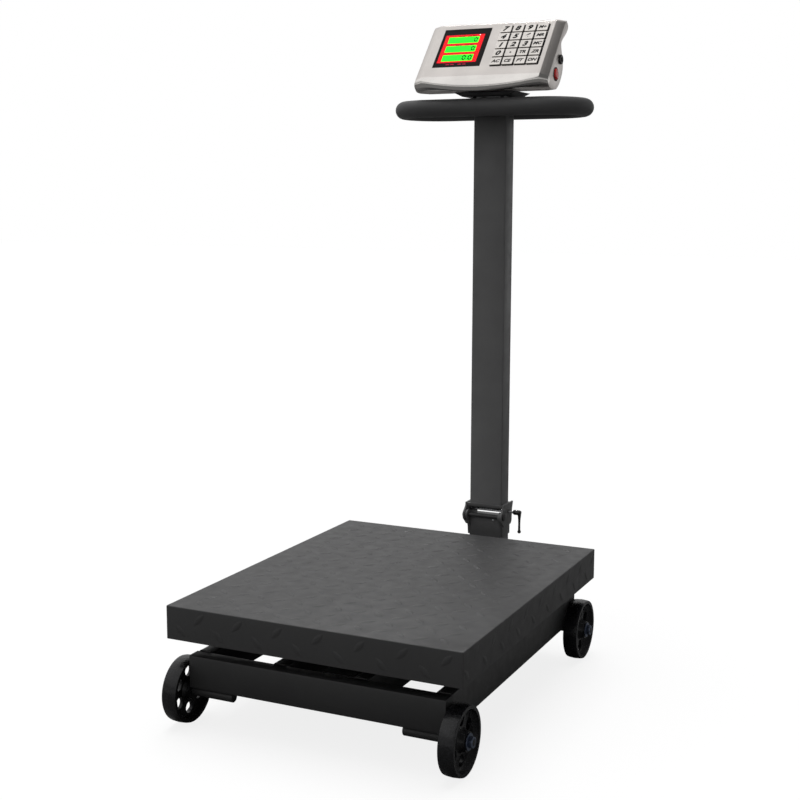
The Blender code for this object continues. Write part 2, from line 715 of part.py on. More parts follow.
def clamp_lever():
    """A screwed rod through the bracket, with a hub and a hanging lever on its right end."""
    rod = (0, deck_y(ROD_Y), ROD_Z)
    left_end = -CHEEK_INNER_X - CHEEK_THICKNESS - CLAMP_NUT_HEIGHT - 0.001
    profile = [
        (0, left_end),
        (ROD_RADIUS, left_end),
        (ROD_RADIUS, LEVER_HUB_START),
        (LEVER_HUB_RADIUS, LEVER_HUB_START),
        (LEVER_HUB_RADIUS, LEVER_HUB_END),
        (0, LEVER_HUB_END),
    ]
    made = add_object("clamp_lever", turned(profile, "X", rod, 12), ZINC, rod)
    ball = LEVER_BALL_RADIUS
    waist = 0.0026
    arm = [(0, -0.001), (0.0040, -0.001), (waist, -LEVER_ARM_LENGTH * 0.35),
           (waist, -LEVER_ARM_LENGTH + ball)]
    arm += [(ball * math.cos(math.radians(a)), -LEVER_ARM_LENGTH + ball * math.sin(math.radians(a)))
            for a in (40, 0, -45)]
    arm += [(0, -LEVER_ARM_LENGTH - ball)]
    place = (LEVER_ARM_X, rod[1], rod[2])
    combine(made, turned(arm, "Z", place, 10), "UNION", "arm")
    return smooth(made)


# Handle and indicator bracket ------------------------------------------------------------------


def loop_tube(radius):
    """A closed tube along the handle's loop: two straight bars joined by half circles."""
    bend = RING_SPACING / 2
    straight = RING_LENGTH / 2 - RING_TUBE_RADIUS - bend
    bm = bmesh.new()
    rings = []
    for end, start_angle in ((1, -90), (-1, 90)):
        for step in range(RING_END_STEPS + 1):
            angle = math.radians(start_angle + 180 * step / RING_END_STEPS)
            outward = Vector((math.cos(angle), math.sin(angle), 0))
            centre = Vector((end * straight, deck_y(RING_MIDDLE_Y), RING_Z)) + bend * outward
            ring = []
            for side in range(RING_SIDES):
                turn = math.tau * (side + 0.5) / RING_SIDES
                spoke = math.cos(turn) * outward + Vector((0, 0, math.sin(turn)))
                ring.append(bm.verts.new(centre + radius * spoke))
            rings.append(ring)
    for first, second in zip(rings, rings[1:] + rings[:1]):
        for side in range(RING_SIDES):
            after = (side + 1) % RING_SIDES
            bm.faces.new((first[side], first[after], second[after], second[side]))
    return bm


def handle_ring():
    """The loop handle, a hollow tube with a vent, and the plate across it that sits on the column."""
    made = add_object("handle_ring", loop_tube(RING_TUBE_RADIUS), PAINT)
    combine(made, loop_tube(RING_TUBE_RADIUS - RING_WALL), "DIFFERENCE", "hollow")
    rear_bar = deck_y(RING_MIDDLE_Y + RING_SPACING / 2)
    vent = cylinder(DRAIN_RADIUS, RING_Z - 0.025, RING_Z - 0.010, "Z", (0.1, rear_bar, 0), 8)
    combine(made, vent, "DIFFERENCE", "vent")
    half = TOP_PLATE_WIDTH / 2
    reach = RING_SPACING / 2 - RING_TUBE_RADIUS + 0.0012
    middle = deck_y(RING_MIDDLE_Y)
    low = (-half, middle - reach, RING_Z - TOP_PLATE / 2)
    plate = box(low, (half, middle + reach, RING_Z + TOP_PLATE / 2))
    combine(made, plate, "UNION", "plate")
    return smooth(made)


def indicator_tray():
    """The bracket under the indicator: a shallow pan with sloping ends on four studs."""
    bottom = TRAY_TOP - TRAY_HEIGHT
    outline = [(-TRAY_TOP_HALF, TRAY_TOP), (-TRAY_BOTTOM_HALF, bottom), (TRAY_BOTTOM_HALF, bottom),
               (TRAY_TOP_HALF, TRAY_TOP)]
    pan = prism(outline, "Y", deck_y(TRAY_FRONT), deck_y(TRAY_BACK))
    made = add_object("indicator_tray", pan, DARK_PLASTIC)
    top_half, floor_half = TRAY_TOP_HALF - TRAY_WALL * 2, TRAY_BOTTOM_HALF - TRAY_WALL
    inside = [(-top_half, TRAY_TOP + 0.001), (-floor_half, bottom + TRAY_WALL),
              (floor_half, bottom + TRAY_WALL), (top_half, TRAY_TOP + 0.001)]
    hollow = prism(inside, "Y", deck_y(TRAY_FRONT + TRAY_WALL), deck_y(TRAY_BACK - TRAY_WALL))
    combine(made, hollow, "DIFFERENCE", "hollow")
    studs = bmesh.new()
    for y in STUD_ROWS:
        for side in (-1, 1):
            place = (side * STUD_X, deck_y(y), 0)
            cylinder(STUD_RADIUS, RING_Z + TOP_PLATE / 2 + GAP, bottom + TRAY_WALL / 2, "Z", place, 10, studs)
    combine(made, studs, "UNION", "studs")
    return made


# Indicator -------------------------------------------------------------------------------------


def panel_point(x, v, w):
    """A place in the indicator: v up the sloping panel, w into the case."""
    rise, run = math.cos(PANEL_LEAN), math.sin(PANEL_LEAN)
    return Vector((x, deck_y(PANEL_FOOT_Y) + v * run + w * rise, PANEL_FOOT_Z + v * rise - w * run))


def panel_box(x_range, v_range, w_range, bm=None):
    """A box square to the indicator's panel."""
    bm = bm or bmesh.new()
    matrix = Matrix.Translation(panel_point(sum(x_range) / 2, sum(v_range) / 2, sum(w_range) / 2))
    matrix @= Matrix.Rotation(-PANEL_LEAN, 4, "X")
    size = (x_range[1] - x_range[0], w_range[1] - w_range[0], v_range[1] - v_range[0], 1.0)
    bmesh.ops.create_cube(bm, size=1.0, matrix=matrix @ Matrix.Diagonal(size))
    return bm


def mix(ends, middle, bulge):
    """A point between an end's and the middle's, by the bulge."""
    return tuple(a + (b - a) * bulge for a, b in zip(ends, middle))


def case_section(x, inset=0.0):
    """The case's outline at x, as (v, w) points: top, back, underside, then the lip that bows down.

    inset draws the outline in for the case's ends, where the front is bevelled.
    """
    bulge = max(0.0, 1.0 - (x / PANEL_HALF) ** 2)
    front = inset * BEVEL_DEPTH
    edge = inset * 0.0025
    return [
        (PANEL_TOP_V - edge, front),
        (0.168 - edge, 0.0025 + front * 0.8),
        (0.1755 - edge, 0.009 + front * 0.3),
        (0.177 - edge, 0.016),
        (0.1765 - edge, 0.029 - edge),
        (0.170 - edge, 0.033 - edge),
        (0.150, 0.031 - edge),
        (0.126, 0.024 - edge),
        (0.113, 0.023 - edge),
        (0.104 - edge, 0.034 - edge),
        (0.095 - edge, 0.054 - edge),
        (0.084 - edge, 0.066 - edge),
        (0.068, 0.072 - edge),
        (0.045, 0.0735 - edge),
        (0.028, 0.070 - edge),
        (0.0164 + edge, 0.0643 - edge),
        (-0.0083 + edge, 0.0355 - edge),
        mix((-0.0125 + edge, 0.020), (-0.026, 0.017), bulge),
        mix((-0.010 + edge, 0.008 + front * 0.5), (-0.032, 0.009), bulge),
        mix((-0.004 + edge, 0.0015 + front * 0.9), (-0.024, -0.0015), bulge),
        mix((0.006, front), (-0.008, 0.0), bulge),
    ]


COVER_FIRST = 9                  # the back cover spans the outline's points from here
COVER_LAST = 14                  # to here
CASE_STATIONS = (-CASE_HALF, -PANEL_HALF, -COVER_HALF, -0.060, -0.020, 0.020, 0.060, COVER_HALF, PANEL_HALF,
                 CASE_HALF)


def case_skin():
    """The case's outer skin, with the back cover's opening left out."""
    bm = bmesh.new()
    rows = []
    for x in CASE_STATIONS:
        inset = 1.0 if abs(x) == CASE_HALF else 0.0
        rows.append([bm.verts.new(panel_point(x, v, w)) for v, w in case_section(x, inset)])
    count = len(rows[0])
    for index, (first, second) in enumerate(zip(rows, rows[1:])):
        in_cover = abs(CASE_STATIONS[index]) <= COVER_HALF and abs(CASE_STATIONS[index + 1]) <= COVER_HALF
        for i in range(count):
            if in_cover and COVER_FIRST <= i < COVER_LAST:
                continue
            j = (i + 1) % count
            bm.faces.new((first[i], first[j], second[j], second[i]))
    bm.faces.new(rows[0])
    bm.faces.new(rows[-1])
    return bm


def thicken(obj, thickness):
    """Give a closed skin a wall inward."""
    solidify = obj.modifiers.new("wall", "SOLIDIFY")
    solidify.thickness = thickness
    solidify.offset = -1.0
    return obj


def key_middle(column, row):
    """Middle of a key in X and v; row 0 is the top row."""
    return KEY_FIRST[0] + column * KEY_PITCH[0], KEY_FIRST[1] - row * KEY_PITCH[1]


def key_places():
    """Row and column of each key, from the top left."""
    return [(row, column) for row in range(KEY_ROWS) for column in range(KEY_COLUMNS)]


def indicator_case():
    """The case: a thin skin with openings for the window and the keys, and two holes in its right end."""
    made = thicken(add_object("indicator_case", case_skin(), STAINLESS), CASE_WALL)
    margin = GAP + 0.0001
    across = (WINDOW_X[0] - margin, WINDOW_X[1] + margin)
    up = (WINDOW_V[0] - margin, WINDOW_V[1] + margin)
    cuts = panel_box(across, up, (-0.010, 0.008))
    half_x, half_v = KEY_SIZE[0] / 2 + margin, KEY_SIZE[1] / 2 + margin
    for row, column in key_places():
        x, v = key_middle(column, row)
        panel_box((x - half_x, x + half_x), (v - half_v, v + half_v), (-0.010, 0.008), cuts)
    combine(made, cuts, "DIFFERENCE", "window_and_keys")
    side_holes = cylinder(SWITCH_RADIUS + SWITCH_CLEARANCE, CASE_HALF - 0.006, CASE_HALF + 0.01, "X",
                          (0, deck_y(SWITCH_Y), SWITCH_Z), 20)
    cylinder(SOCKET_RADIUS + GAP, CASE_HALF - 0.006, CASE_HALF + 0.01, "X",
             (0, deck_y(SOCKET_Y), SOCKET_Z), 16, side_holes)
    combine(made, side_holes, "DIFFERENCE", "side_holes")
    return smooth(made, 30)


def back_cover():
    """The cover that closes the case's back, in a skin of its own inside the opening."""
    edge = GAP + 0.0002
    stations = [x for x in CASE_STATIONS if abs(x) <= COVER_HALF]
    bm = bmesh.new()
    rows = []
    for x in stations:
        inner_x = max(-COVER_HALF + edge, min(COVER_HALF - edge, x))
        section = case_section(x)[COVER_FIRST:COVER_LAST + 1]
        section[0] = mix(section[0], section[1], edge / 0.022)
        section[-1] = mix(section[-1], section[-2], edge / 0.017)
        rows.append([bm.verts.new(panel_point(inner_x, v, w)) for v, w in section])
    for first, second in zip(rows, rows[1:]):
        for i in range(len(first) - 1):
            bm.faces.new((first[i], first[i + 1], second[i + 1], second[i]))
    return smooth(thicken(add_object("back_cover", bm, DARK_PLASTIC), CASE_WALL), 30)


def keypad():
    """The twenty keys."""
    for row, column in key_places():
        x, v = key_middle(column, row)
        half_x, half_v = KEY_SIZE[0] / 2, KEY_SIZE[1] / 2
        cap = panel_box((x - half_x, x + half_x), (v - half_v, v + half_v), (-KEY_PROUD, KEY_DEPTH))
        key = add_object(f"key_{row + 1}_{column + 1}", cap, KEY_PLASTIC, panel_point(x, v, 0))
        bevel = key.modifiers.new("edges", "BEVEL")
        bevel.width = KEY_BEVEL
        bevel.segments = 1


def display_window():
    """The display's window, a flat plate just under the panel."""
    pane = panel_box(WINDOW_X, WINDOW_V, (0.0002, WINDOW_THICKNESS))
    return add_object("display_window", pane, WINDOW_BLACK)


def electronics():
    """The circuit board and the battery inside the case."""
    board = panel_box((-BOARD_HALF, BOARD_HALF), BOARD_V, (BOARD_W, BOARD_W + BOARD_THICKNESS))
    add_object("circuit_board", board, BOARD_GREEN)
    add_object("battery", panel_box((-BATTERY_HALF, BATTERY_HALF), BATTERY_V, BATTERY_W), BATTERY_GREY)


def power_switch():
    """A round rocker in the case's right side, tilted to its off position."""
    pivot = Vector((CASE_HALF - CASE_WALL / 2, deck_y(SWITCH_Y), SWITCH_Z))
    edge = 0.001
    profile = [
        (0, -SWITCH_DEPTH),
        (SWITCH_RADIUS - 2 * edge, -SWITCH_DEPTH),
        (SWITCH_RADIUS, 0),
        (SWITCH_RADIUS - edge, SWITCH_PROUD - edge),
        (SWITCH_RADIUS - 2.5 * edge, SWITCH_PROUD),
        (0, SWITCH_PROUD - 1.2 * edge),
    ]
    bm = turned(profile, "X", pivot, 20)
    bmesh.ops.rotate(bm, cent=pivot, matrix=Matrix.Rotation(SWITCH_TILT, 3, "Y"), verts=bm.verts)
    return smooth(add_object("power_switch", bm, SWITCH_RED, pivot))


def charge_socket():
    """The charger socket above the switch: a collar outside, a barrel inside, and a blind hole."""
    centre = (CASE_HALF, deck_y(SOCKET_Y), SOCKET_Z)
    profile = [
        (0, -SOCKET_DEPTH),
        (SOCKET_RADIUS, -SOCKET_DEPTH),
        (SOCKET_RADIUS, GAP),
        (SOCKET_COLLAR, GAP),
        (SOCKET_COLLAR, SOCKET_PROUD - 0.001),
        (SOCKET_COLLAR - 0.001, SOCKET_PROUD),
        (SOCKET_HOLE, SOCKET_PROUD),
        (SOCKET_HOLE, -SOCKET_DEPTH * 0.7),
        (0, -SOCKET_DEPTH * 0.7),
    ]
    return smooth(add_object("charge_socket", turned(profile, "X", centre, 16), DARK_PLASTIC))


def main():
    """Build every piece."""
    clear_scene()
    base_frame()
    running_gear()
    cell_base_plate()
    load_cell()
    upper_frame()
    deck_pads()
    deck()
    cable_box()
    mast_base()
    hinge_pin()
    column()
    clamp_lever()
    handle_ring()
    indicator_tray()
    indicator_case()
    back_cover()
    keypad()
    display_window()
    electronics()
    power_switch()
    charge_socket()


main()
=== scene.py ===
"""Looks of a mobile platform scale: deck, tube frame, iron wheels, fold-down mast, loop handle and indicator.

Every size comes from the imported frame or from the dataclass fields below, in metres, +Z up.
"""

import json
import logging
import math
from collections.abc import Callable, Iterable, Iterator
from contextlib import contextmanager
from dataclasses import dataclass
from enum import Enum

import bmesh
import bpy
from mathutils import Matrix, Vector
from mathutils.geometry import interpolate_bezier


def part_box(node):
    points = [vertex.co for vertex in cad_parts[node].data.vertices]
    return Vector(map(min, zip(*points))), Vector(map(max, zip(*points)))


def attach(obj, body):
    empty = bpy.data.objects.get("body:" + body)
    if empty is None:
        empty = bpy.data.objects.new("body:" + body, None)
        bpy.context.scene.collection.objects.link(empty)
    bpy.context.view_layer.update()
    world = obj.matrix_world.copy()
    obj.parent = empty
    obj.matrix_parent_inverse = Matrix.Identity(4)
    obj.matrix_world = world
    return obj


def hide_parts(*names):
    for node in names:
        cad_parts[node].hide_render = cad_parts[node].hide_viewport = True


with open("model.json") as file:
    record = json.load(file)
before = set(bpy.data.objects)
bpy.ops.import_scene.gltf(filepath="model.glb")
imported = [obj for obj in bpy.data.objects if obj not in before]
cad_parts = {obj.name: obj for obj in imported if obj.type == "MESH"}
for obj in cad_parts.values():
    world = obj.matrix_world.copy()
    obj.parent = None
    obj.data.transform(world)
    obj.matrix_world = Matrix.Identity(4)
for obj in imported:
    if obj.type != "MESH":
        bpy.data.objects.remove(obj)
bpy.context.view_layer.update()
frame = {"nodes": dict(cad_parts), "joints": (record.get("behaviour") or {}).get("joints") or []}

log = logging.getLogger("scale")

Point = tuple[float, float, float]
Outline = list[tuple[float, float]]
Colour = tuple[float, float, float]
Test = Callable[[Vector, Vector], bool]


class Side(Enum):
    """Left or right of the scale, seen from the front."""

    LEFT = -1
    RIGHT = 1


class Row(Enum):
    """The front or the rear pair of wheels."""

    FRONT = "front"
    REAR = "rear"


class Body(Enum):
    """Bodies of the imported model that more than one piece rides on."""

    BASE = "base"
    MAST = "mast"
    LEVER = "lever"
    ROCKER = "rocker"


# Materials -------------------------------------------------------------------------------------


class Recipe:
    """A Principled material in the making, with short calls for the nodes that this object uses."""

    def __init__(self, name: str, colour: Colour, roughness: float, metallic: float = 0.0) -> None:
        """Start a material.

        Args:
            name: the material's name.
            colour: its base colour, linear.
            roughness: its plain roughness.
            metallic: 1 for bare metal, 0 otherwise.
        """
        self.material = bpy.data.materials.new(name)
        self.material.use_nodes = True
        self.tree = self.material.node_tree
        self.shader = self.tree.nodes["Principled BSDF"]
        self.set("Base Color", (*colour, 1.0))
        self.set("Roughness", roughness)
        self.set("Metallic", metallic)
        self.material.diffuse_color = (*colour, 1.0)
        self.places = self.tree.nodes.new("ShaderNodeTexCoord").outputs["Object"]

    def set(self, socket: str, value: float | tuple[float, ...]) -> None:
        """Set a plain value on the shader's own socket."""
        self.shader.inputs[socket].default_value = value

    def link(self, output: bpy.types.NodeSocket, socket: str) -> None:
        """Feed an output into one of the shader's sockets."""
        self.tree.links.new(output, self.shader.inputs[socket])

    def noise(self, scale: float, detail: float = 3.0,
              stretch: Point = (1.0, 1.0, 1.0)) -> bpy.types.NodeSocket:
        """Noise in object space.

        Args:
            scale: how many features there are in a metre.
            detail: octaves of finer noise.
            stretch: factors on the three axes; a small one draws the noise out along that axis.

        Returns:
            The noise node's factor output.
        """
        mapping = self.tree.nodes.new("ShaderNodeMapping")
        mapping.inputs["Scale"].default_value = stretch
        self.tree.links.new(self.places, mapping.inputs["Vector"])
        node = self.tree.nodes.new("ShaderNodeTexNoise")
        node.inputs["Scale"].default_value = scale
        node.inputs["Detail"].default_value = detail
        self.tree.links.new(mapping.outputs["Vector"], node.inputs["Vector"])
        return node.outputs["Fac"]

    def spread(self, source: bpy.types.NodeSocket, low: float, high: float) -> bpy.types.NodeSocket:
        """Stretch a noise's middle range to run from low to high."""
        node = self.tree.nodes.new("ShaderNodeMapRange")
        node.inputs["From Min"].default_value = 0.3
        node.inputs["From Max"].default_value = 0.7
        node.inputs["To Min"].default_value = low
        node.inputs["To Max"].default_value = high
        self.tree.links.new(source, node.inputs["Value"])
        return node.outputs["Result"]

    def blend(self, source: bpy.types.NodeSocket, dark: Colour, light: Colour,
              start: float = 0.35, end: float = 0.65) -> bpy.types.NodeSocket:
        """Colours from dark to light as source runs from start to end."""
        ramp = self.tree.nodes.new("ShaderNodeValToRGB")
        ramp.color_ramp.elements[0].position = start
        ramp.color_ramp.elements[0].color = (*dark, 1.0)
        ramp.color_ramp.elements[1].position = end
        ramp.color_ramp.elements[1].color = (*light, 1.0)
        self.tree.links.new(source, ramp.inputs["Fac"])
        return ramp.outputs["Color"]

    def scaled(self, source: bpy.types.NodeSocket, factor: float) -> bpy.types.NodeSocket:
        """A source times a factor."""
        node = self.tree.nodes.new("ShaderNodeMath")
        node.operation = "MULTIPLY"
        node.inputs[1].default_value = factor
        self.tree.links.new(source, node.inputs[0])
        return node.outputs["Value"]

    def bump(self, height: bpy.types.NodeSocket, depth: float, strength: float = 1.0) -> None:
        """Raise the surface by height times depth, on top of any bump set before."""
        node = self.tree.nodes.new("ShaderNodeBump")
        node.inputs["Distance"].default_value = depth
        node.inputs["Strength"].default_value = strength
        self.tree.links.new(height, node.inputs["Height"])
        earlier = self.shader.inputs["Normal"].links
        if earlier:
            self.tree.links.new(earlier[0].from_socket, node.inputs["Normal"])
        self.link(node.outputs["Normal"], "Normal")


def shaded(colour: Colour, factor: float) -> Colour:
    """A colour made darker or lighter by a factor."""
    return tuple(min(1.0, part * factor) for part in colour)


@dataclass(frozen=True)
class Paint:
    """Sprayed paint on steel: fine orange peel, faint clouds of colour and a scuffed gloss."""

    name: str
    colour: Colour
    roughness: float = 0.42
    peel: float = 0.00012
    clouds: float = 0.10
    specular: float = 0.45

    def material(self) -> bpy.types.Material:
        """Build the paint's material."""
        recipe = Recipe(self.name, self.colour, self.roughness)
        dark, light = shaded(self.colour, 1 - self.clouds), shaded(self.colour, 1 + self.clouds)
        recipe.link(recipe.blend(recipe.noise(7.0, 5.0), dark, light), "Base Color")
        scuff = recipe.noise(38.0, 6.0)
        recipe.link(recipe.spread(scuff, self.roughness - 0.06, self.roughness + 0.08), "Roughness")
        recipe.bump(recipe.noise(420.0, 2.0), self.peel, 0.5)
        recipe.set("Specular IOR Level", self.specular)
        return recipe.material


@dataclass(frozen=True)
class CastIron:
    """Black gloss paint over a rough sand casting."""

    name: str
    colour: Colour = (0.006, 0.006, 0.007)
    roughness: float = 0.24
    coat: float = 0.2

    def material(self) -> bpy.types.Material:
        """Build the casting's material."""
        recipe = Recipe(self.name, self.colour, self.roughness, 0.15)
        grain = recipe.noise(260.0, 4.0)
        recipe.link(recipe.blend(grain, self.colour, shaded(self.colour, 2.4), 0.45, 0.75), "Base Color")
        patches = recipe.noise(90.0, 4.0)
        recipe.link(recipe.spread(patches, self.roughness - 0.06, self.roughness + 0.16), "Roughness")
        recipe.bump(recipe.noise(70.0, 2.0), 0.0006, 0.5)
        recipe.bump(grain, 0.0007, 0.8)
        recipe.set("Specular IOR Level", 0.3)
        recipe.set("Coat Weight", self.coat)
        recipe.set("Coat Roughness", 0.15)
        return recipe.material


@dataclass(frozen=True)
class Steel:
    """Bare or plated steel; grain drawn out along X where it is brushed."""

    name: str
    colour: Colour
    roughness: float
    brushed: bool = False
    grain_depth: float = 0.00003

    def material(self) -> bpy.types.Material:
        """Build the metal's material."""
        recipe = Recipe(self.name, self.colour, self.roughness, 1.0)
        stretch = (0.02, 1.0, 1.0) if self.brushed else (1.0, 1.0, 1.0)
        grain = recipe.noise(1500.0 if self.brushed else 300.0, 3.0, stretch)
        recipe.link(recipe.spread(grain, self.roughness - 0.05, self.roughness + 0.07), "Roughness")
        tint = recipe.noise(16.0, 3.0)
        recipe.link(recipe.blend(tint, shaded(self.colour, 0.94), shaded(self.colour, 1.04)), "Base Color")
        recipe.bump(grain, self.grain_depth, 0.4)
        return recipe.material


@dataclass(frozen=True)
class Moulding:
    """Moulded plastic or rubber with a fine spark-eroded grain."""

    name: str
    colour: Colour
    roughness: float = 0.45
    grain: float = 0.00006
    coat: float = 0.0
    specular: float = 0.5

    def material(self) -> bpy.types.Material:
        """Build the moulding's material."""
        recipe = Recipe(self.name, self.colour, self.roughness)
        recipe.bump(recipe.noise(900.0, 2.0), self.grain, 0.6)
        patches = recipe.noise(25.0, 3.0)
        recipe.link(recipe.blend(patches, shaded(self.colour, 0.93), shaded(self.colour, 1.06)), "Base Color")
        gloss = recipe.noise(120.0, 3.0)
        recipe.link(recipe.spread(gloss, self.roughness - 0.04, self.roughness + 0.05), "Roughness")
        recipe.set("Specular IOR Level", self.specular)
        recipe.set("Coat Weight", self.coat)
        recipe.set("Coat Roughness", 0.08)
        return recipe.material


@dataclass(frozen=True)
class Lit:
    """A backlit print: its own colour, with some of it given off as light."""

    name: str
    colour: Colour
    glow: float = 0.6

    def material(self) -> bpy.types.Material:
        """Build the backlit material."""
        recipe = Recipe(self.name, self.colour, 0.35)
        haze = recipe.noise(60.0, 2.0)
        recipe.link(recipe.blend(haze, shaded(self.colour, 0.95), shaded(self.colour, 1.03)), "Base Color")
        recipe.set("Specular IOR Level", 0.1)
        recipe.set("Emission Color", (*self.colour, 1.0))
        recipe.set("Emission Strength", self.glow)
        return recipe.material


class Finish(Enum):
    """Every finish on the scale."""

    FRAME_PAINT = Paint("frame_paint", (0.024, 0.024, 0.0245), 0.46)
    MAST_PAINT = Paint("mast_paint", (0.098, 0.098, 0.099), 0.48)
    DECK_PAINT = Paint("deck_paint", (0.042, 0.042, 0.0425), 0.50, clouds=0.04, specular=0.35)
    HANDLE_PAINT = Paint("handle_paint", (0.062, 0.062, 0.063), 0.55, 0.0002, specular=0.35)
    TRAY_PAINT = Paint("tray_paint", (0.008, 0.008, 0.009), 0.40)
    IRON = CastIron("wheel_iron")
    BLUED = Steel("blued_steel", (0.16, 0.19, 0.26), 0.34)
    ZINC = Steel("zinc_plate", (0.66, 0.67, 0.69), 0.26)
    ALUMINIUM = Steel("cell_aluminium", (0.70, 0.70, 0.72), 0.34, True)
    BRUSHED = Steel("brushed_stainless", (0.72, 0.68, 0.65), 0.36, True)
    POLISHED = Steel("polished_stainless", (0.78, 0.75, 0.72), 0.12)
    COVER = Moulding("cover_plastic", (0.05, 0.05, 0.055), 0.5)
    SOCKET = Moulding("socket_plastic", (0.008, 0.008, 0.008), 0.4)
    LEVER = Moulding("lever_enamel", (0.006, 0.006, 0.006), 0.25, coat=0.4)
    RUBBER = Moulding("pad_rubber", (0.018, 0.018, 0.018), 0.8)
    KEY = Steel("key_silver", (0.86, 0.82, 0.78), 0.40)
    MARK = Moulding("key_mark", (0.006, 0.006, 0.006), 0.5, specular=0.15)
    WINDOW = Moulding("window_black", (0.002, 0.002, 0.002), 0.35, 0.0, specular=0.12)
    BORDER = Lit("border_red", (0.80, 0.006, 0.012), 0.40)
    GLASS = Lit("row_green", (0.02, 0.90, 0.03), 0.70)
    DIGIT = Moulding("digit_dark", (0.003, 0.03, 0.004), 0.5, specular=0.1)
    LAMP = Lit("lamp_white", (0.9, 0.9, 0.85), 0.5)
    NOTE = Lit("note_crimson", (0.45, 0.01, 0.05), 0.25)
    ROCKER = Moulding("rocker_red", (0.70, 0.015, 0.012), 0.22, 0.00002, 0.5)
    BOARD = Moulding("board_lacquer", (0.02, 0.16, 0.06), 0.35)
    BATTERY = Moulding("battery_case", (0.05, 0.05, 0.06), 0.5)


_mixed: dict[Finish, bpy.types.Material] = {}


def material_of(finish: Finish) -> bpy.types.Material:
    """The one material of a finish, built when it is first asked for."""
    if finish not in _mixed:
        _mixed[finish] = finish.value.material()
    return _mixed[finish]


# Modelling calls ---------------------------------------------------------------------------------


def deselect() -> None:
    """Leave object mode with nothing selected."""
    if bpy.context.object is not None and bpy.context.object.mode != "OBJECT":
        bpy.ops.object.mode_set(mode="OBJECT")
    bpy.ops.object.select_all(action="DESELECT")


def activate(obj: bpy.types.Object) -> None:
    """Select one object alone and make it the active one."""
    deselect()
    obj.select_set(True)
    bpy.context.view_layer.objects.active = obj


@contextmanager
def editing(obj: bpy.types.Object) -> Iterator[None]:
    """Edit mode on one object, with nothing of it selected at the start."""
    activate(obj)
    bpy.ops.object.mode_set(mode="EDIT")
    bpy.ops.mesh.select_all(action="DESELECT")
    yield
    bpy.ops.object.mode_set(mode="OBJECT")


def pick_faces(obj: bpy.types.Object, test: Test) -> None:
    """Select, in edit mode, the faces whose middle and normal pass the test."""
    bpy.ops.mesh.select_mode(type="FACE")
    bm = bmesh.from_edit_mesh(obj.data)
    for face in bm.faces:
        face.select_set(test(face.calc_center_median(), face.normal))
    bm.select_flush_mode()
    bmesh.update_edit_mesh(obj.data)


def pick_edges(obj: bpy.types.Object, test: Test) -> None:
    """Select, in edit mode, the edges whose middle and direction pass the test."""
    bpy.ops.mesh.select_mode(type="EDGE")
    bm = bmesh.from_edit_mesh(obj.data)
    for edge in bm.edges:
        first, second = edge.verts[0].co, edge.verts[1].co
        edge.select_set(test((first + second) / 2, (second - first).normalized()))
    bm.select_flush_mode()
    bmesh.update_edit_mesh(obj.data)


def modify(obj: bpy.types.Object, kind: str, **settings: object) -> None:
    """Add a modifier with its settings and apply it."""
    activate(obj)
    modifier = obj.modifiers.new(kind.lower(), kind)
    for key, value in settings.items():
        setattr(modifier, key, value)
    bpy.ops.object.modifier_apply(modifier=modifier.name)


def round_edges(obj: bpy.types.Object, width: float, segments: int = 2, angle: float = 35.0) -> None:
    """Round every edge sharper than an angle, with a modifier that is applied."""
    modify(obj, "BEVEL", width=width, segments=segments, limit_method="ANGLE",
           angle_limit=math.radians(angle), harden_normals=False, use_clamp_overlap=True)


def soften(obj: bpy.types.Object, angle: float = 35.0) -> None:
    """Shade smooth except at edges sharper than an angle."""
    activate(obj)
    bpy.ops.object.shade_smooth_by_angle(angle=math.radians(angle))


def settle(obj: bpy.types.Object) -> bpy.types.Object:
    """Put an object's place, turn and size into its mesh."""
    activate(obj)
    bpy.ops.object.transform_apply(location=True, rotation=True, scale=True)
    return obj


def face_out(obj: bpy.types.Object) -> None:
    """Merge doubled corners and point every face outwards."""
    with editing(obj):
        bpy.ops.mesh.select_all(action="SELECT")
        bpy.ops.mesh.remove_doubles(threshold=1e-6)
        bpy.ops.mesh.dissolve_degenerate(threshold=1e-7)
        bpy.ops.mesh.select_all(action="SELECT")
        bpy.ops.mesh.normals_make_consistent(inside=False)


def block(name: str, low: Iterable[float], high: Iterable[float]) -> bpy.types.Object:
    """A cube primitive stretched between two corners, as a start for a piece."""
    low, high = Vector(low), Vector(high)
    deselect()
    bpy.ops.mesh.primitive_cube_add(size=1.0, location=(low + high) / 2, scale=high - low)
    bpy.context.object.name = name
    return settle(bpy.context.object)


def rod(name: str, radius: float, start: Point, end: Point, sides: int = 32) -> bpy.types.Object:
    """A cylinder primitive between two points, as a start for a piece."""
    start, end = Vector(start), Vector(end)
    deselect()
    bpy.ops.mesh.primitive_cylinder_add(vertices=sides, radius=radius, depth=(end - start).length)
    obj = bpy.context.object
    obj.name = name
    turn = (end - start).to_track_quat("Z", "Y").to_matrix().to_4x4()
    obj.matrix_world = Matrix.Translation((start + end) / 2) @ turn
    return settle(obj)


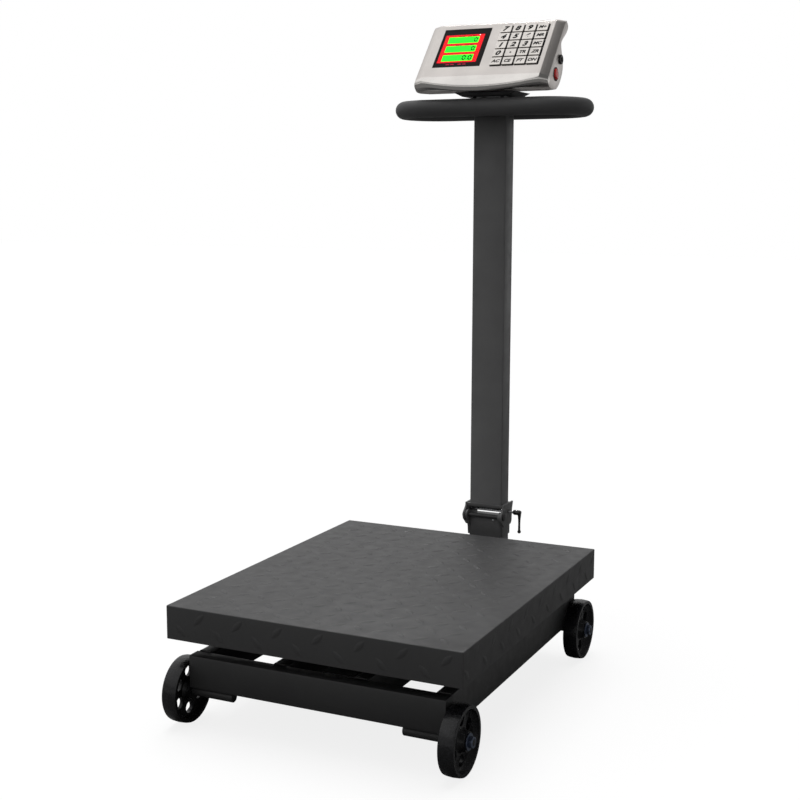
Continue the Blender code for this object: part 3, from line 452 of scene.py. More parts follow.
def turned(name: str, profile: Outline, centre: Point, axis: str = "X", steps: int = 64,
           rounding: float = 0.0) -> bpy.types.Object:
    """Spin a closed profile round an axis.

    Args:
        name: the piece's name.
        profile: points of (radius, place along the axis), measured from centre.
        centre: a point on the axis.
        axis: X or Z.
        steps: how many steps the full turn takes.
        rounding: radius given to the profile's sharp edges.

    Returns:
        The turned object.
    """
    deselect()
    bpy.ops.mesh.primitive_circle_add(vertices=len(profile), radius=0.01)
    obj = bpy.context.object
    obj.name = name
    for vert, (radius, along) in zip(obj.data.vertices, profile):
        place = Vector((along, radius, 0.0)) if axis == "X" else Vector((radius, 0.0, along))
        vert.co = place + Vector(centre)
    with editing(obj):
        bpy.ops.mesh.select_all(action="SELECT")
        bpy.ops.mesh.spin(steps=steps, angle=math.tau, center=centre,
                          axis=(1, 0, 0) if axis == "X" else (0, 0, 1), use_auto_merge=True)
    face_out(obj)
    if rounding:
        round_edges(obj, rounding, 3, 40.0)
    soften(obj, 40.0)
    return obj


def carve(obj: bpy.types.Object, cutter: bpy.types.Object, operation: str = "DIFFERENCE",
          folded: bool = False) -> None:
    """Boolean one piece with another, which is then removed.

    Args:
        obj: the piece that is changed.
        cutter: the other piece.
        operation: DIFFERENCE, INTERSECT or UNION.
        folded: true where obj's walls may cross each other at tight corners.
    """
    modify(obj, "BOOLEAN", object=cutter, operation=operation, solver="EXACT", use_self=folded)
    bpy.data.objects.remove(cutter, do_unlink=True)


def join(name: str, parts: list[bpy.types.Object]) -> bpy.types.Object:
    """Join parts into one piece."""
    deselect()
    for part in parts:
        part.select_set(True)
    bpy.context.view_layer.objects.active = parts[0]
    if len(parts) > 1:
        bpy.ops.object.join()
    parts[0].name = name
    return parts[0]


def copies(source: bpy.types.Object, name: str, places: Iterable[Matrix]) -> bpy.types.Object:
    """One piece made of a copy of source at each place; source itself is removed."""
    bm = bmesh.new()
    for place in places:
        piece = source.data.copy()
        piece.transform(place)
        bm.from_mesh(piece)
        bpy.data.meshes.remove(piece)
    source.data.name = name
    bm.to_mesh(source.data)
    bm.free()
    source.name = name
    return source


def refined(node: str, name: str, edge: float, segments: int = 2, angle: float = 40.0) -> bpy.types.Object:
    """A copy of a CAD node with its triangles merged and its edges rounded.

    Args:
        node: the CAD node.
        name: the copy's name.
        edge: the radius of its edges.
        segments: steps of each rounded edge.
        angle: edges sharper than this are rounded, in degrees.

    Returns:
        The copy, smoothly shaded.
    """
    obj = bpy.data.objects.new(name, frame["nodes"][node].data.copy())
    bpy.context.scene.collection.objects.link(obj)
    with editing(obj):
        bpy.ops.mesh.select_all(action="SELECT")
        bpy.ops.mesh.remove_doubles(threshold=1e-6)
        bpy.ops.mesh.dissolve_limited(angle_limit=math.radians(0.5), delimit=set())
    if edge:
        round_edges(obj, edge, segments, angle)
    soften(obj, 30.0)
    return obj


def duplicate(source: bpy.types.Object, name: str) -> bpy.types.Object:
    """A copy of a piece with its own mesh."""
    obj = bpy.data.objects.new(name, source.data.copy())
    bpy.context.scene.collection.objects.link(obj)
    return obj


def plate(name: str, low: tuple[float, float], high: tuple[float, float], base: float, top: float,
          corner: float, segments: int = 4) -> bpy.types.Object:
    """A flat plate on the bench, its four upright edges rounded or cut.

    Args:
        name: the piece's name.
        low: its lower left corner.
        high: its upper right corner.
        base: height of its underside.
        top: height of its face.
        corner: size of its corners.
        segments: steps of each corner; 1 cuts it straight.

    Returns:
        The plate.
    """
    obj = block(name, (*low, base), (*high, top))
    with editing(obj):
        pick_edges(obj, lambda place, way: abs(way.z) > 0.9)
        bpy.ops.mesh.bevel(offset=corner, segments=segments, affect="EDGES")
    return obj


def flowing(knots: list[Vector], steps: int) -> list[Vector]:
    """A smooth open curve through knots, with steps stretches between each two."""
    last = len(knots) - 1
    ways = [(knots[min(i + 1, last)] - knots[max(i - 1, 0)]).normalized() for i in range(len(knots))]
    points = []
    for index, (start, end) in enumerate(zip(knots, knots[1:])):
        reach = (end - start).length / 3
        leave, arrive = start + ways[index] * reach, end - ways[index + 1] * reach
        points += interpolate_bezier(start, leave, arrive, end, steps + 1)[:-1]
    return points + [knots[-1]]


def lofted(name: str, sections: list[list[Point]]) -> bpy.types.Object:
    """A closed skin drawn through sections that all have the same number of points.

    Args:
        name: the piece's name.
        sections: closed outlines, each a list of points.

    Returns:
        The skin, closed at both ends and facing out.
    """
    deselect()
    bpy.ops.mesh.primitive_circle_add(vertices=len(sections[0]), radius=0.01)
    obj = bpy.context.object
    obj.name = name
    order = obj.data.attributes.new("order", "INT", "POINT")
    for vert, point in zip(obj.data.vertices, sections[0]):
        order.data[vert.index].value = vert.index
        vert.co = point
    with editing(obj):
        bpy.ops.mesh.select_all(action="SELECT")
        bpy.ops.mesh.edge_face_add()
        for section in sections[1:]:
            bpy.ops.mesh.extrude_edges_move()
            bm = bmesh.from_edit_mesh(obj.data)
            layer = bm.verts.layers.int["order"]
            for vert in bm.verts:
                if vert.select:
                    vert.co = section[vert[layer]]
            bmesh.update_edit_mesh(obj.data)
        bpy.ops.mesh.edge_face_add()
    obj.data.attributes.remove(obj.data.attributes["order"])
    face_out(obj)
    return obj


def dress(obj: bpy.types.Object, finish: Finish, body: Body | str, *stands_for: str) -> bpy.types.Object:
    """Give a finished piece its material and body, and hide the CAD nodes that it stands for."""
    obj.data.materials.clear()
    obj.data.materials.append(material_of(finish))
    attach(obj, body.value if isinstance(body, Body) else body)
    if stands_for:
        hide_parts(*stands_for)
    log.info("%s: %d faces", obj.name, len(obj.data.polygons))
    return obj


def repaint(node: str, finish: Finish) -> None:
    """Give a CAD node that stays in view its finished material."""
    obj = frame["nodes"][node]
    obj.data.materials.clear()
    obj.data.materials.append(material_of(finish))


def middle(node: str) -> Vector:
    """The middle of a CAD node's box."""
    low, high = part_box(node)
    return (low + high) / 2


# Deck --------------------------------------------------------------------------------------------


@dataclass
class Deck:
    """The checker-plate tray that carries the load."""

    fold_radius: float = 0.0020
    plate: float = 0.0045
    mark_length: float = 0.034
    mark_width: float = 0.0130
    mark_height: float = 0.0011
    mark_pitch: float = 0.0415
    skirt_rows: tuple[float, float] = (0.019, 0.045)
    skirt_margin: float = 0.012
    top_margin: float = 0.002
    sunk: float = 0.00005
    mark_steps: tuple[tuple[float, float], ...] = ((0.55, 0.74), (0.33, 0.62), (0.12, 0.45))

    def tray(self) -> bpy.types.Object:
        """Fold the tray from a block: open below, rounded at its folds, then given its thickness."""
        low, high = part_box("deck_plate")
        obj = block("deck_tray", low, high)
        with editing(obj):
            pick_faces(obj, lambda place, normal: normal.z < -0.9)
            bpy.ops.mesh.delete(type="FACE")
            pick_edges(obj, lambda place, way: place.z > high.z - 1e-4 or abs(way.z) > 0.9)
            bpy.ops.mesh.bevel(offset=self.fold_radius, segments=4, affect="EDGES")
        modify(obj, "SOLIDIFY", thickness=self.plate, offset=-1.0)
        face_out(obj)
        soften(obj, 30.0)
        return dress(obj, Finish.DECK_PAINT, Body.BASE, "deck_plate")

    def mark(self) -> bpy.types.Object:
        """One raised mark: a pointed oval, drawn up in steps to a low crown."""
        deselect()
        bpy.ops.mesh.primitive_circle_add(vertices=16, radius=0.5, fill_type="NGON")
        obj = bpy.context.object
        for vert in obj.data.vertices:
            along = vert.co.x * 2
            vert.co.x = along * self.mark_length / 2
            vert.co.y = math.copysign(max(0.0, 1 - along * along), vert.co.y) * self.mark_width / 2
        with editing(obj):
            bpy.ops.mesh.select_all(action="SELECT")
            for rise, shrink in self.mark_steps:
                bpy.ops.mesh.extrude_region_move(
                    TRANSFORM_OT_translate={"value": (0, 0, self.mark_height * rise)})
                bpy.ops.transform.resize(value=(shrink, shrink, 1.0))
        soften(obj, 80.0)
        return obj

    def grid(self, width: float, length: float) -> Iterator[Matrix]:
        """Places of the marks on the deck's top, turned one way and the other in turn.

        Args:
            width: the face's size along its first direction.
            length: the face's size along its second direction.

        Yields:
            Each mark's place on the face, from its middle.
        """
        edge = self.mark_length / 2 * math.sqrt(0.5) + self.top_margin
        columns = int((width / 2 - edge) / self.mark_pitch)
        count = int((length / 2 - edge) / self.mark_pitch)
        rows = [index * self.mark_pitch for index in range(-count, count + 1)]
        for number, across in enumerate(rows):
            for column in range(-columns, columns + 1):
                turn = 45 if (column + number) % 2 else -45
                place = Matrix.Translation((column * self.mark_pitch, across, 0))
                yield place @ Matrix.Rotation(math.radians(turn), 4, "Z")

    def tread(self) -> bpy.types.Object:
        """All the raised marks on the deck's top and its four skirts."""
        low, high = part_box("deck_plate")
        centre = (low + high) / 2
        size = high - low
        mark = self.mark()
        top = Matrix.Translation((centre.x, centre.y, high.z - self.sunk))
        places = [top @ place for place in self.grid(size.x, size.y)]
        for turn in range(4):
            across = size.x if turn % 2 == 0 else size.y
            reach = (size.y if turn % 2 == 0 else size.x) / 2 - self.sunk
            stand = Matrix.Translation((centre.x, centre.y, low.z))
            stand @= Matrix.Rotation(turn * math.pi / 2, 4, "Z")
            stand @= Matrix.Translation((0, -reach, 0)) @ Matrix.Rotation(math.pi / 2, 4, "X")
            for number, height in enumerate(self.skirt_rows):
                count = int((across / 2 - self.skirt_margin) / (2 * self.mark_pitch))
                way = 1 if number else -1
                shift = self.mark_pitch / 2 * way
                for column in range(-count, count + 1):
                    place = Matrix.Translation((column * 2 * self.mark_pitch + shift, height, 0))
                    places.append(stand @ place @ Matrix.Rotation(math.radians(45 * way), 4, "Z"))
        return dress(copies(mark, "deck_tread", places), Finish.DECK_PAINT, Body.BASE)

    def build(self) -> None:
        """Build the tray and its tread."""
        self.tray()
        self.tread()


# Base frame --------------------------------------------------------------------------------------


@dataclass
class BaseFrame:
    """Welded tubes, the box lid between the inner rails and the weld beads."""

    bead: float = 0.0030
    ripple: float = 0.0022
    bead_margin: float = 0.004
    beams: tuple[str, ...] = ("frame_front_beam", "frame_rear_beam")
    rails: tuple[str, ...] = ("frame_left_rail", "frame_right_rail", "frame_inner_left_rail",
                              "frame_inner_right_rail")

    def weld(self, start: Vector, end: Vector) -> bpy.types.Object:
        """A weld bead along a line: a rod divided along its length, its rings swollen in turn."""
        length = (end - start).length
        count = max(4, int(length / self.ripple))
        obj = rod("bead", self.bead / 2, start, end, 8)
        along = (end - start).normalized()
        for index in range(1, count):
            with editing(obj):
                bpy.ops.mesh.select_all(action="SELECT")
                bpy.ops.mesh.bisect(plane_co=start + along * length * index / count, plane_no=along)
        for vert in obj.data.vertices:
            way = vert.co - start
            place = way.dot(along)
            out = way - along * place
            step = round(place / length * count)
            vert.co = start + along * place + out * (1.25 if step % 2 else 0.95)
        return obj

    def welds(self) -> bpy.types.Object:
        """Beads where the rails meet the cross beams."""
        beads = []
        front, rear = self.beams
        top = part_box(front)[1].z
        for y in (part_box(front)[1].y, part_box(rear)[0].y):
            for rail in self.rails:
                low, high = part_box(rail)
                start = Vector((low.x + self.bead_margin, y, top))
                beads.append(self.weld(start, Vector((high.x - self.bead_margin, y, top))))
        return dress(join("frame_welds", beads), Finish.FRAME_PAINT, Body.BASE)

    def build(self) -> None:
        """Refine every tube and add the welds."""
        for node in (*self.beams, *self.rails, "cable_box"):
            dress(refined(node, f"{node}_tube", 0.0), Finish.FRAME_PAINT, Body.BASE, node)
        self.welds()


# Wheels ------------------------------------------------------------------------------------------


@dataclass
class RunningGear:
    """Four cast wheels, their stub axles, washers and nuts."""

    hole_count: int = 6
    hole_radius: float = 0.011
    hole_pitch: float = 0.0365
    rim_half: float = 0.015
    rim_inner: float = 0.0545
    bore: float = 0.0081
    web: float = 0.007
    hub_radius: float = 0.018
    fillet: float = 0.0012
    journal: float = 0.008
    shoulder: float = 0.2630
    thread_start: float = 0.2967
    thread_pitch: float = 0.0012
    thread_radii: tuple[float, float] = (0.0053, 0.0060)
    nut_flats: float = 0.019
    washer: float = 0.0024
    washer_radius: float = 0.0155

    def wheel_profile(self, radius: float, half_rim: float, half_hub: float, bore: float) -> Outline:
        """The wheel's section: crowned tread, drafted rim and hub, thin web."""
        crown = 0.0008
        half_web = self.web / 2
        side = [
            (radius - crown, half_rim - 0.004),
            (radius - crown * 2.2, half_rim),
            (self.rim_inner + 0.001, half_rim),
            (self.rim_inner - 0.001, half_web + 0.003),
            (self.rim_inner - 0.004, half_web),
            (self.hub_radius + 0.0045, half_web),
            (self.hub_radius + 0.0015, half_web + 0.003),
            (self.hub_radius, half_hub),
            (bore, half_hub),
        ]
        return [(radius, 0.0)] + side + [(r, -h) for r, h in reversed(side)]

    def wheel(self, row: Row, side: Side) -> None:
        """Turn one wheel, drill its web and round its edges."""
        node = f"wheel_{row.value}_{side.name.lower()}"
        low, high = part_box(node)
        centre = (low + high) / 2
        radius = (high.z - low.z) / 2
        profile = self.wheel_profile(radius, self.rim_half, (high.x - low.x) / 2, self.bore)
        obj = turned(f"{node}_casting", profile, centre, "X", 96)
        for index in range(self.hole_count):
            angle = math.tau * (index + 0.5) / self.hole_count
            place = centre + Vector((0, math.cos(angle), math.sin(angle))) * self.hole_pitch
            reach = Vector((self.web, 0, 0))
            carve(obj, rod("hole", self.hole_radius, place - reach, place + reach, 32))
        round_edges(obj, self.fillet, 3, 38.0)
        soften(obj, 40.0)
        dress(obj, Finish.IRON, node, node)

    def axle(self, row: Row, side: Side) -> None:
        """The stub axle with its turned end and a few turns of thread."""
        node = f"axle_{row.value}_{side.name.lower()}"
        low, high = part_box(node)
        y, z = middle(node).y, middle(node).z
        radius = (high.z - low.z) / 2
        inner, outer = (low.x, high.x) if side is Side.RIGHT else (high.x, low.x)
        s = side.value
        shoulder, thread = s * self.shoulder, s * self.thread_start
        root, crest = self.thread_radii
        profile = [(0, inner), (radius - 0.001, inner), (radius, inner + s * 0.001), (radius, shoulder),
                   (self.journal, shoulder), (self.journal, thread), (root, thread)]
        pitch = s * self.thread_pitch
        count = int(abs(outer - thread) / self.thread_pitch) - 1
        for turn in range(count):
            profile += [(crest, thread + pitch * (turn + 0.5)), (root, thread + pitch * (turn + 1))]
        profile += [(0.0045, outer), (0, outer)]
        obj = turned(f"{node}_bar", profile, (0, y, z), "X", 40)
        dress(obj, Finish.FRAME_PAINT, Body.BASE, node)

    def nut(self, row: Row, side: Side) -> None:
        """A washer and a chamfered hexagon nut."""
        node = f"axle_nut_{row.value}_{side.name.lower()}"
        low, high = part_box(node)
        y, z = middle(node).y, middle(node).z
        inner, outer = (low.x, high.x) if side is Side.RIGHT else (high.x, low.x)
        s = side.value
        face = inner + s * self.washer
        corner = self.nut_flats / math.sqrt(3)
        hexagon = rod(f"{node}_hexagon", corner, (face - s * 0.0005, y, z), (outer, y, z), 6)
        dome = turned("dome", [(0, face - s * 0.002), (corner + 0.001, face - s * 0.002),
                               (corner + 0.001, outer - s * 0.0030), (corner * 0.88, outer), (0, outer)],
                      (0, y, z), "X", 48)
        carve(hexagon, dome, "INTERSECT")
        carve(hexagon, rod("bore", 0.00605, (inner - s * 0.01, y, z), (outer + s * 0.01, y, z), 32))
        round_edges(hexagon, 0.0003, 2, 30.0)
        soften(hexagon, 30.0)
        ring = [(0.0063, inner), (self.washer_radius, inner), (self.washer_radius, face), (0.0063, face)]
        washer = turned(f"{node}_washer", ring, (0, y, z), "X", 48, 0.0004)
        dress(hexagon, Finish.BLUED, Body.BASE, node)
        dress(washer, Finish.BLUED, Body.BASE)

    def build(self) -> None:
        """Build the four corners."""
        for row in Row:
            for side in Side:
                self.wheel(row, side)
                self.axle(row, side)
                self.nut(row, side)


# Weighing gear -----------------------------------------------------------------------------------


@dataclass
class WeighingGear:
    """The load cell between its plates, the upper frame and the rubber pads under the deck."""

    bolt_radius: float = 0.0065
    bolt_head: float = 0.006
    plates: tuple[tuple[str, str, float, Finish], ...] = (
        ("load_cell", "load_cell_block", 0.0006, Finish.ALUMINIUM),
        ("cell_base_plate", "cell_plate", 0.0006, Finish.FRAME_PAINT),
        ("upper_frame", "upper_frame_channels", 0.0005, Finish.FRAME_PAINT))

    def pads(self) -> None:
        """Ribbed rubber pads."""
        for row in Row:
            for side in Side:
                node = f"deck_pad_{row.value}_{side.name.lower()}"
                low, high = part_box(node)
                centre = middle(node)
                radius = (high.x - low.x) / 2
                half = (high.z - low.z) / 2
                profile = [(0, -half), (radius, -half), (radius, -half * 0.3), (radius * 0.94, 0),
                           (radius, half * 0.3), (radius, half), (0, half)]
                obj = turned(f"{node}_moulding", profile, centre, "Z", 40, 0.0003)
                dress(obj, Finish.RUBBER, Body.BASE, node)

    def bolts(self) -> None:
        """Cap bolts that hold the cell's fixed end to its base plate, seen from below."""
        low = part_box("cell_base_plate")[0]
        cell_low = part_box("load_cell")[0]
        heads = []
        for dx in (-0.016, 0.016):
            for dy in (0.012, 0.034):
                place = (dx, cell_low.y + dy, 0)
                profile = [(0, low.z - 0.0002), (self.bolt_radius, low.z - 0.0002),
                           (self.bolt_radius, low.z - self.bolt_head),
                           (0.0038, low.z - self.bolt_head), (0.0035, low.z - 0.003), (0, low.z - 0.003)]
                heads.append(turned("head", profile, place, "Z", 24, 0.0003))
        dress(join("cell_bolts", heads), Finish.ZINC, Body.BASE)

    def build(self) -> None:
        """Refine the plates and frames, then add pads and bolts."""
        for node, name, edge, finish in self.plates:
            dress(refined(node, name, edge), finish, Body.BASE, node)
        self.pads()
        self.bolts()


# Mast --------------------------------------------------------------------------------------------


@dataclass
class Mast:
    """The post behind the deck, the hinge, the column and the clamp lever."""

    edge: float = 0.0006
    pin_radius: float = 0.005
    pin_head_radius: float = 0.0075
    pin_head: float = 0.003
    rod_radius: float = 0.003
    hub_length: float = 0.019
    arm_inset: float = 0.0043
    arm_length: float = 0.045
    arm_ball: float = 0.0042
    screw_place: tuple[float, float, float] = (0.020, 0.848, 0.243)

    def hinge(self) -> None:
        """The pin with its two heads, turned with small chamfers."""
        low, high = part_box("hinge_pin")
        centre = middle("hinge_pin")
        half = (high.x - low.x) / 2
        bar, head, inner = self.pin_radius, self.pin_head_radius, half - self.pin_head
        profile = [(0, -half), (head, -half), (head, -inner), (bar, -inner),
                   (bar, inner), (head, inner), (head, half), (0, half)]
        obj = turned("hinge_pin_bar", profile, centre, "X", 40, 0.0005)
        dress(obj, Finish.FRAME_PAINT, Body.BASE, "hinge_pin")

    def lever(self) -> None:
        """The zinc rod, and the black hub with its hanging, ball-ended arm."""
        joint = next(j for j in frame["joints"] if j["name"] == "clamp_turn")
        y, z = joint["pos_m"][1:]
        low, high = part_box("clamp_lever")
        hub_end = high.x
        hub_start = hub_end - self.hub_length
        screw = [(0, low.x), (0.0022, low.x), (self.rod_radius, low.x + 0.0008),
                 (self.rod_radius, hub_start + 0.002), (0, hub_start + 0.002)]
        dress(turned("clamp_rod", screw, (0, y, z), "X", 32), Finish.ZINC, Body.LEVER, "clamp_lever")
        hub_profile = [(0, hub_start), (0.0048, hub_start), (0.0060, hub_start + 0.003),
                       (0.0058, hub_end - 0.004), (0.0045, hub_end - 0.0008), (0, hub_end)]
        hub = turned("clamp_handle", hub_profile, (0, y, z), "X", 40)
        arm_x, length, ball = hub_end - self.arm_inset, self.arm_length, self.arm_ball
        arm_profile = [(0, 0.001), (0.0042, 0.001), (0.0040, -0.006), (0.0030, -0.014), (0.0025, -0.026),
                       (0.0027, -length + ball * 1.1)]
        arm_profile += [(ball * math.cos(math.radians(a)), -length + ball * math.sin(math.radians(a)))
                        for a in range(45, -90, -15)]
        arm_profile += [(0, -length - ball)]
        carve(hub, turned("arm", arm_profile, (arm_x, y, z), "Z", 32), "UNION")
        round_edges(hub, 0.0008, 2, 50.0)
        soften(hub, 50.0)
        dress(hub, Finish.LEVER, Body.LEVER)

    def screw(self) -> None:
        """The small zinc grub screw in the post's front face, under the hinge."""
        x, behind, z = self.screw_place
        profile = [(0, 0), (0.0028, 0), (0.0028, -0.0008), (0.0020, -0.0014), (0, -0.0014)]
        obj = turned("post_screw", profile, (0, 0, 0), "Z", 24)
        place = Matrix.Translation((x, behind + DECK_FRONT, z))
        obj.matrix_world = place @ Matrix.Rotation(-math.pi / 2, 4, "X")
        dress(settle(obj), Finish.ZINC, Body.BASE)

    def build(self) -> None:
        """Refine the post and the column, then add the hinge, lever and screw."""
        dress(refined("mast_base", "mast_post", self.edge), Finish.MAST_PAINT, Body.BASE, "mast_base")
        dress(refined("column", "column_tube", self.edge, 2, 50.0), Finish.MAST_PAINT, Body.MAST, "column")
        self.hinge()
        self.lever()
        self.screw()


# Handle ------------------------------------------------------------------------------------------


@dataclass
class Handle:
    """The loop handle and the plate across it."""

    tube: float = 0.0195
    plate_half: float = 0.060
    plate: float = 0.006

    def loop(self) -> bpy.types.Object:
        """A racetrack of bezier curve with a round bevel, made a mesh."""
        low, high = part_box("handle_ring")
        centre = (low + high) / 2
        bend = (high.y - low.y) / 2 - self.tube
        straight = (high.x - low.x) / 2 - self.tube - bend
        deselect()
        bpy.ops.curve.primitive_bezier_circle_add(radius=1.0)
        obj = bpy.context.object
        curve = obj.data
        spline = curve.splines[0]
        spline.bezier_points.add(2)
        reach = bend * 4 / 3 * math.tan(math.pi / 8)
        stops = [((straight, -bend), (1, 0)), ((straight + bend, 0), (0, 1)), ((straight, bend), (-1, 0)),
                 ((-straight, bend), (-1, 0)), ((-straight - bend, 0), (0, -1)), ((-straight, -bend), (1, 0))]
        for point, ((x, y), (dx, dy)) in zip(spline.bezier_points, stops):
            place = Vector((x, y, 0))
            way = Vector((dx, dy, 0)) * reach
            point.handle_left_type = point.handle_right_type = "FREE"
            point.co, point.handle_left, point.handle_right = place, place - way, place + way
        spline.use_cyclic_u = True
        curve.dimensions = "3D"
        curve.resolution_u = 20
        curve.bevel_depth = self.tube
        curve.bevel_resolution = 10
        bpy.ops.object.convert(target="MESH")
        obj = bpy.context.object
        obj.name = "handle_loop"
        obj.location = centre
        return settle(obj)

    def build(self) -> None:
        """Build the loop and its plate."""
        loop = self.loop()
        face_out(loop)
        soften(loop, 60.0)
        dress(loop, Finish.HANDLE_PAINT, Body.MAST, "handle_ring")
        low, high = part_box("handle_ring")
        centre = (low + high) / 2
        reach = (high.y - low.y) / 2 - 2 * self.tube + 0.002
        plate = block("handle_plate", centre - Vector((self.plate_half, reach, self.plate / 2)),
                      centre + Vector((self.plate_half, reach, self.plate / 2)))
        round_edges(plate, 0.001, 3)
        soften(plate)
        dress(plate, Finish.MAST_PAINT, Body.MAST)


# Indicator ---------------------------------------------------------------------------------------


@dataclass
class Indicator:
    """The price indicator: a stainless case on its bracket, a display, twenty keys, a switch and a socket.

    Its pieces are made on a flat bench, where x runs along the panel, y up it and z out of it, and then
    stood up on the mast by stand().
    """

    lean: float = math.radians(40.7)
    foot_behind: float = 0.7785
    foot_height: float = 1.2465
    panel_half: float = 0.1385
    panel_top: float = 0.161
    case_half: float = 0.157
    end_bevel: float = 0.009
    wall: float = 0.002
    stations: int = 20
    cover_half: float = 0.100
    window_low: tuple[float, float] = (-0.121, 0.033)
    window_high: tuple[float, float] = (-0.008, 0.151)
    print_step: float = 0.00012
    row_pitch: float = 0.0278
    row_height: float = 0.0193
    key_first: tuple[float, float] = (0.0280, 0.1435)
    key_pitch: tuple[float, float] = (0.0283, 0.0250)
    key_size: tuple[float, float] = (0.0245, 0.0214)
    key_proud: float = 0.0026
    key_depth: float = 0.0045
    key_gap: float = 0.0004
    rocker_radius: float = 0.0125
    rocker_proud: float = 0.005
    socket_radius: float = 0.0095
    digit_sizes: tuple[float, ...] = (0.0134, 0.0134, 0.0152)
    first_row: float = 0.1166
    row_x: tuple[float, float] = (-0.1048, -0.0312)
    border_low: tuple[float, float] = (-0.1142, 0.0466)
    border_high: tuple[float, float] = (-0.0204, 0.1333)
    digit_x: tuple[float, float] = (-0.0385, -0.0525)
    small_marks: tuple[tuple[float, float], ...] = ((-0.082, 0.004), (-0.077, 0.003), (-0.073, 0.005),
                                                    (-0.060, 0.009), (-0.049, 0.010))
    stud_x: float = 0.033
    stud_rows: tuple[float, float] = (0.836, 0.894)
    legends: tuple[tuple[str, ...], ...] = (
        ("7", "8", "9", "M+"), ("4", "5", "6", "MR"), ("1", "2", "3", "MC"),
        ("0", ".", "TR", "ZR"), ("AC", "CE", "PT", "ON"))

    def stand(self) -> Matrix:
        """From the bench to the indicator's place on the mast."""
        up = Vector((0, math.sin(self.lean), math.cos(self.lean)))
        out = Vector((0, -math.cos(self.lean), math.sin(self.lean)))
        turn = Matrix((Vector((1, 0, 0)), up, out)).transposed().to_4x4()
        return Matrix.Translation((0, DECK_FRONT + self.foot_behind, self.foot_height)) @ turn

    def set_up(self, obj: bpy.types.Object) -> bpy.types.Object:
        """Move a finished piece from the bench to its place."""
        obj.matrix_world = self.stand()
        return settle(obj)

    def outline(self, x: float, inset: float = 0.0) -> list[Point]:
        """The case's outline at x, from the panel's top round the back to its foot.

        Args:
            x: place along the panel.
            inset: 1 at the case's ends, where the front is bevelled and the edges draw in.

        Returns:
            The outline's points on the bench.
        """
        bulge = max(0.0, 1.0 - (x / self.panel_half) ** 2)
        front = inset * self.end_bevel
        edge = inset * 0.0025
        top = [(self.panel_top - edge, front), (0.168 - edge, 0.0025 + front * 0.8),
               (0.1755 - edge, 0.009 + front * 0.3), (0.177 - edge, 0.016),
               (0.1765 - edge, 0.029 - edge), (0.170 - edge, 0.033 - edge)]
        waist = [(0.150, 0.031), (0.126, 0.024), (0.113, 0.023), (0.104, 0.034), (0.095, 0.054),
                 (0.084, 0.066)]
        belly = [(0.068, 0.072), (0.045, 0.0735), (0.028, 0.070), (0.0164, 0.0643), (-0.0083, 0.0355)]
        back = [(v, w - edge) for v, w in waist + belly]
        ends = [(-0.0125 + edge, 0.020), (-0.010 + edge, 0.008 + front * 0.5),
                (-0.004 + edge, 0.0015 + front * 0.9), (0.006, front)]
        middles = [(-0.026, 0.017), (-0.032, 0.009), (-0.024, -0.0015), (-0.008, 0.0)]
        lip = [(e[0] + (m[0] - e[0]) * bulge, e[1] + (m[1] - e[1]) * bulge) for e, m in zip(ends, middles)]
        knots = [Vector((x, v, -w)) for v, w in top + back + lip]
        return [tuple(point) for point in flowing(knots, 4)]

    def shell(self) -> bpy.types.Object:
        """The case's wall, lofted from end to end and closed by its two end faces."""
        inner = [-self.panel_half + 2 * self.panel_half * i / self.stations for i in range(self.stations + 1)]
        sections = [self.outline(-self.case_half, 1.0)] + [self.outline(x) for x in inner]
        sections.append(self.outline(self.case_half, 1.0))
        obj = lofted("case_shell", sections)
        round_edges(obj, 0.0009, 2, 18.0)
        modify(obj, "SOLIDIFY", thickness=self.wall, offset=-1.0)
        return obj

    def key_places(self) -> Iterator[tuple[int, int, float, float]]:
        """Row, column and middle of each key, from the top left."""
        for row in range(len(self.legends)):
            for column in range(len(self.legends[row])):
                yield (row, column, self.key_first[0] + column * self.key_pitch[0],
                       self.key_first[1] - row * self.key_pitch[1])

    def openings(self) -> bpy.types.Object:
        """The cutter for the window's and the keys' openings."""
        margin = 0.0004
        cuts = [block("cut", (self.window_low[0] - margin, self.window_low[1] - margin, -0.01),
                      (self.window_high[0] + margin, self.window_high[1] + margin, 0.01))]
        half_x, half_y = self.key_size[0] / 2 + self.key_gap, self.key_size[1] / 2 + self.key_gap
        for _, _, x, y in self.key_places():
            cuts.append(block("cut", (x - half_x, y - half_y, -0.01), (x + half_x, y + half_y, 0.01)))
        return join("openings", cuts)

    def cover_cutter(self, spare: float) -> bpy.types.Object:
        """A prism over the back cover's part of the wall, drawn in by spare all round."""
        half = self.cover_half - spare
        outline = [(0.104 - spare, -0.020), (0.104 - spare, -0.040), (0.110, -0.090), (0.020, -0.090),
                   (0.028 + spare, -0.060)]
        sections = [[(x, y, z) for y, z in outline] for x in (-half, half)]
        return lofted("cover_cutter", sections)

